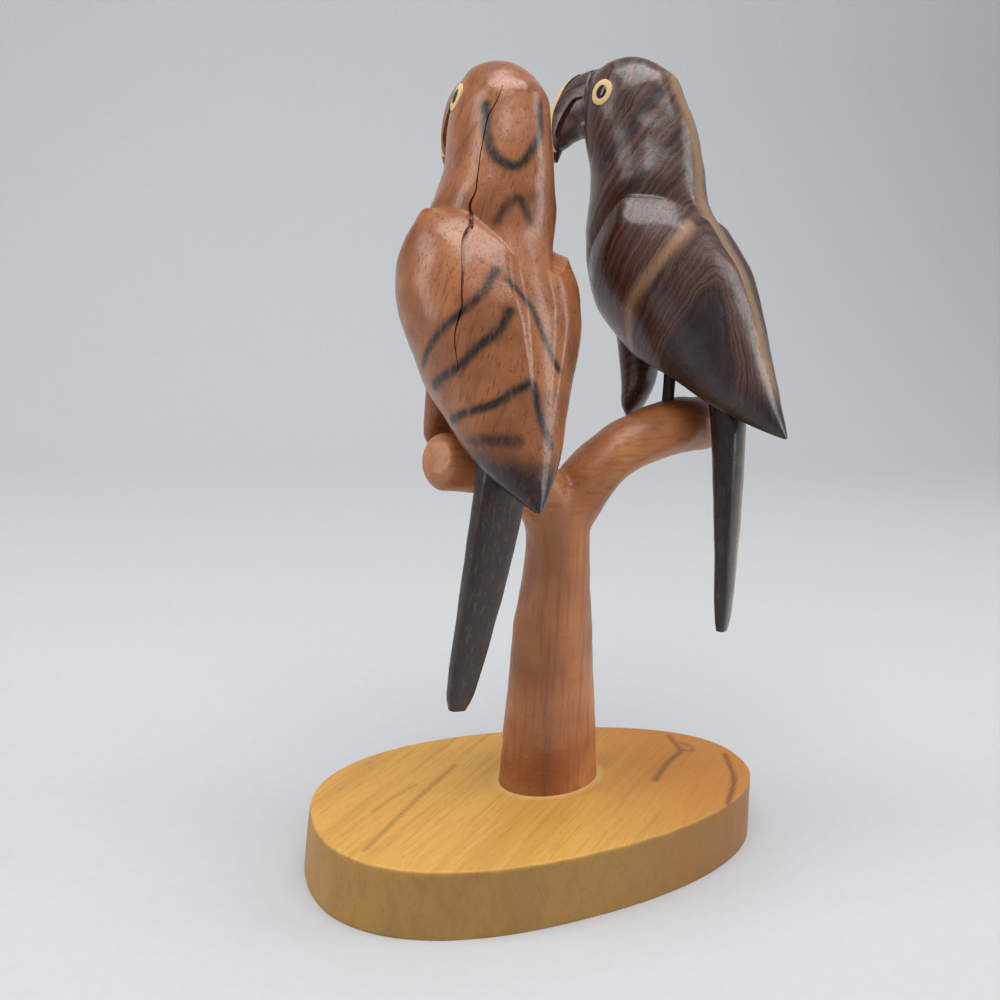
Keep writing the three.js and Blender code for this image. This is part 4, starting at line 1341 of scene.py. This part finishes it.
def picked(name, description, hexadecimal):
    """A colour that the user can pick."""
    return FloatVectorProperty(
        name=name, description=description, subtype="COLOR", size=3, min=0, max=1,
        default=colour(hexadecimal)[:3],
    )


class BoardSettings(bpy.types.PropertyGroup):
    golden: picked("Golden wood", "Colour of the board's top", "d6a24c")
    warm: picked("Warm wood", "Colour of the board towards its right end", "c07d35")


class BranchSettings(bpy.types.PropertyGroup):
    tool_ripple: FloatProperty(
        name="Tool ripple", description="Height of the uneven knife work", unit="LENGTH",
        default=0.08 * MM, min=0, max=MM,
    )
    light: picked("Light wood", "The branch where it is palest", "c98450")
    deep: picked("Deep wood", "The branch where it is darkest", "9c5a30")


class ParrotSettings(bpy.types.PropertyGroup):
    tool_ripple: FloatProperty(
        name="Tool ripple", description="Height of the uneven knife work", unit="LENGTH",
        default=0.07 * MM, min=0, max=MM,
    )
    gloss: FloatProperty(
        name="Roughness", description="Roughness of the polish", subtype="FACTOR",
        default=0.26, min=0.02, max=1,
    )
    left_light: picked("Left light wood", "The left bird where it is palest", "a9683a")
    left_middle: picked("Left middle wood", "The left bird's usual tone", "8a4e2a")
    left_deep: picked("Left deep wood", "The left bird's darker fibres", "4b2717")
    right_light: picked("Right light wood", "The right bird's paler layers", "6d4433")
    right_middle: picked("Right middle wood", "The right bird's usual tone", "4c2f28")
    right_deep: picked("Right deep wood", "The right bird's darker fibres", "2d1b19")


class InlaySettings(bpy.types.PropertyGroup):
    pale: picked("Pale inlay", "Eye rings and bill strips", "e6c98c")
    pale_deep: picked("Pale inlay fibres", "The inlay's darker fibres", "cfa764")
    pupil: picked("Pupil", "The dark plugs", "0b0706")


class StageSettings(bpy.types.PropertyGroup):
    key_power: FloatProperty(
        name="Key power", description="Power of the overhead light in watts", default=8.5, min=0, max=200,
    )
    paper: picked("Paper", "Tint of the floor and wall", "fafdff")
    surround: picked("Surround", "Colour of the even light all round", "d8dadd")


class BuildBoard(bpy.types.Operator):
    """Makes the oval board"""

    bl_idname = "carved_parrots.board"
    bl_label = "Board"

    def execute(self, context):
        carve_board(context.scene.carved_board)
        return {"FINISHED"}


class BuildBranch(bpy.types.Operator):
    """Makes the forked branch"""

    bl_idname = "carved_parrots.branch"
    bl_label = "Branch"

    def execute(self, context):
        carve_branch(context.scene.carved_branch)
        return {"FINISHED"}


class BuildParrots(bpy.types.Operator):
    """Makes both carved birds"""

    bl_idname = "carved_parrots.parrots"
    bl_label = "Parrots"

    def execute(self, context):
        for which in PERCHES:
            carve_parrot(which, context.scene.carved_parrots)
        return {"FINISHED"}


class BuildInlays(bpy.types.Operator):
    """Makes the bill strips, eye rings and pupils"""

    bl_idname = "carved_parrots.inlays"
    bl_label = "Inlays"

    def execute(self, context):
        for which in PERCHES:
            set_inlays(which, context.scene.carved_inlays)
        return {"FINISHED"}


class BuildPegs(bpy.types.Operator):
    """Makes the pegs that pin the birds to the branch"""

    bl_idname = "carved_parrots.pegs"
    bl_label = "Pegs"

    def execute(self, context):
        for which in PERCHES:
            set_peg(which, context.scene.carved_inlays)
        return {"FINISHED"}


class BuildStage(bpy.types.Operator):
    """Makes the paper sweep, the lights and the camera"""

    bl_idname = "carved_parrots.stage"
    bl_label = "Stage"

    def execute(self, context):
        settings = context.scene.carved_stage
        sheet = solid("stage_sheet", stage_sheet())
        sheet.data.shade_smooth()
        sheet.data.materials.append(stage_paper(settings))
        set_lights(settings)
        set_camera()
        return {"FINISHED"}


class CarvedParrotsPanel(bpy.types.Panel):
    """Lists the pieces in the 3D view's sidebar"""

    bl_idname = "VIEW3D_PT_carved_parrots"
    bl_label = "Carved parrots"
    bl_space_type = "VIEW_3D"
    bl_region_type = "UI"
    bl_category = "Carved parrots"

    def draw(self, context):
        for operator in OPERATORS:
            self.layout.operator(operator.bl_idname)


OPERATORS = (BuildBoard, BuildBranch, BuildParrots, BuildInlays, BuildPegs, BuildStage)
SETTINGS = {
    "carved_board": BoardSettings,
    "carved_branch": BranchSettings,
    "carved_parrots": ParrotSettings,
    "carved_inlays": InlaySettings,
    "carved_stage": StageSettings,
}


def register():
    for group in SETTINGS.values():
        bpy.utils.register_class(group)
    for operator in (*OPERATORS, CarvedParrotsPanel):
        bpy.utils.register_class(operator)
    for name, group in SETTINGS.items():
        setattr(bpy.types.Scene, name, PointerProperty(type=group))


def unregister():
    for name in SETTINGS:
        delattr(bpy.types.Scene, name)
    for entry in (CarvedParrotsPanel, *reversed(OPERATORS), *SETTINGS.values()):
        bpy.utils.unregister_class(entry)


def main():
    register()
    bpy.ops.carved_parrots.board()
    bpy.ops.carved_parrots.branch()
    bpy.ops.carved_parrots.parrots()
    bpy.ops.carved_parrots.inlays()
    bpy.ops.carved_parrots.pegs()
    bpy.ops.carved_parrots.stage()


if __name__ == "__main__":
    main()
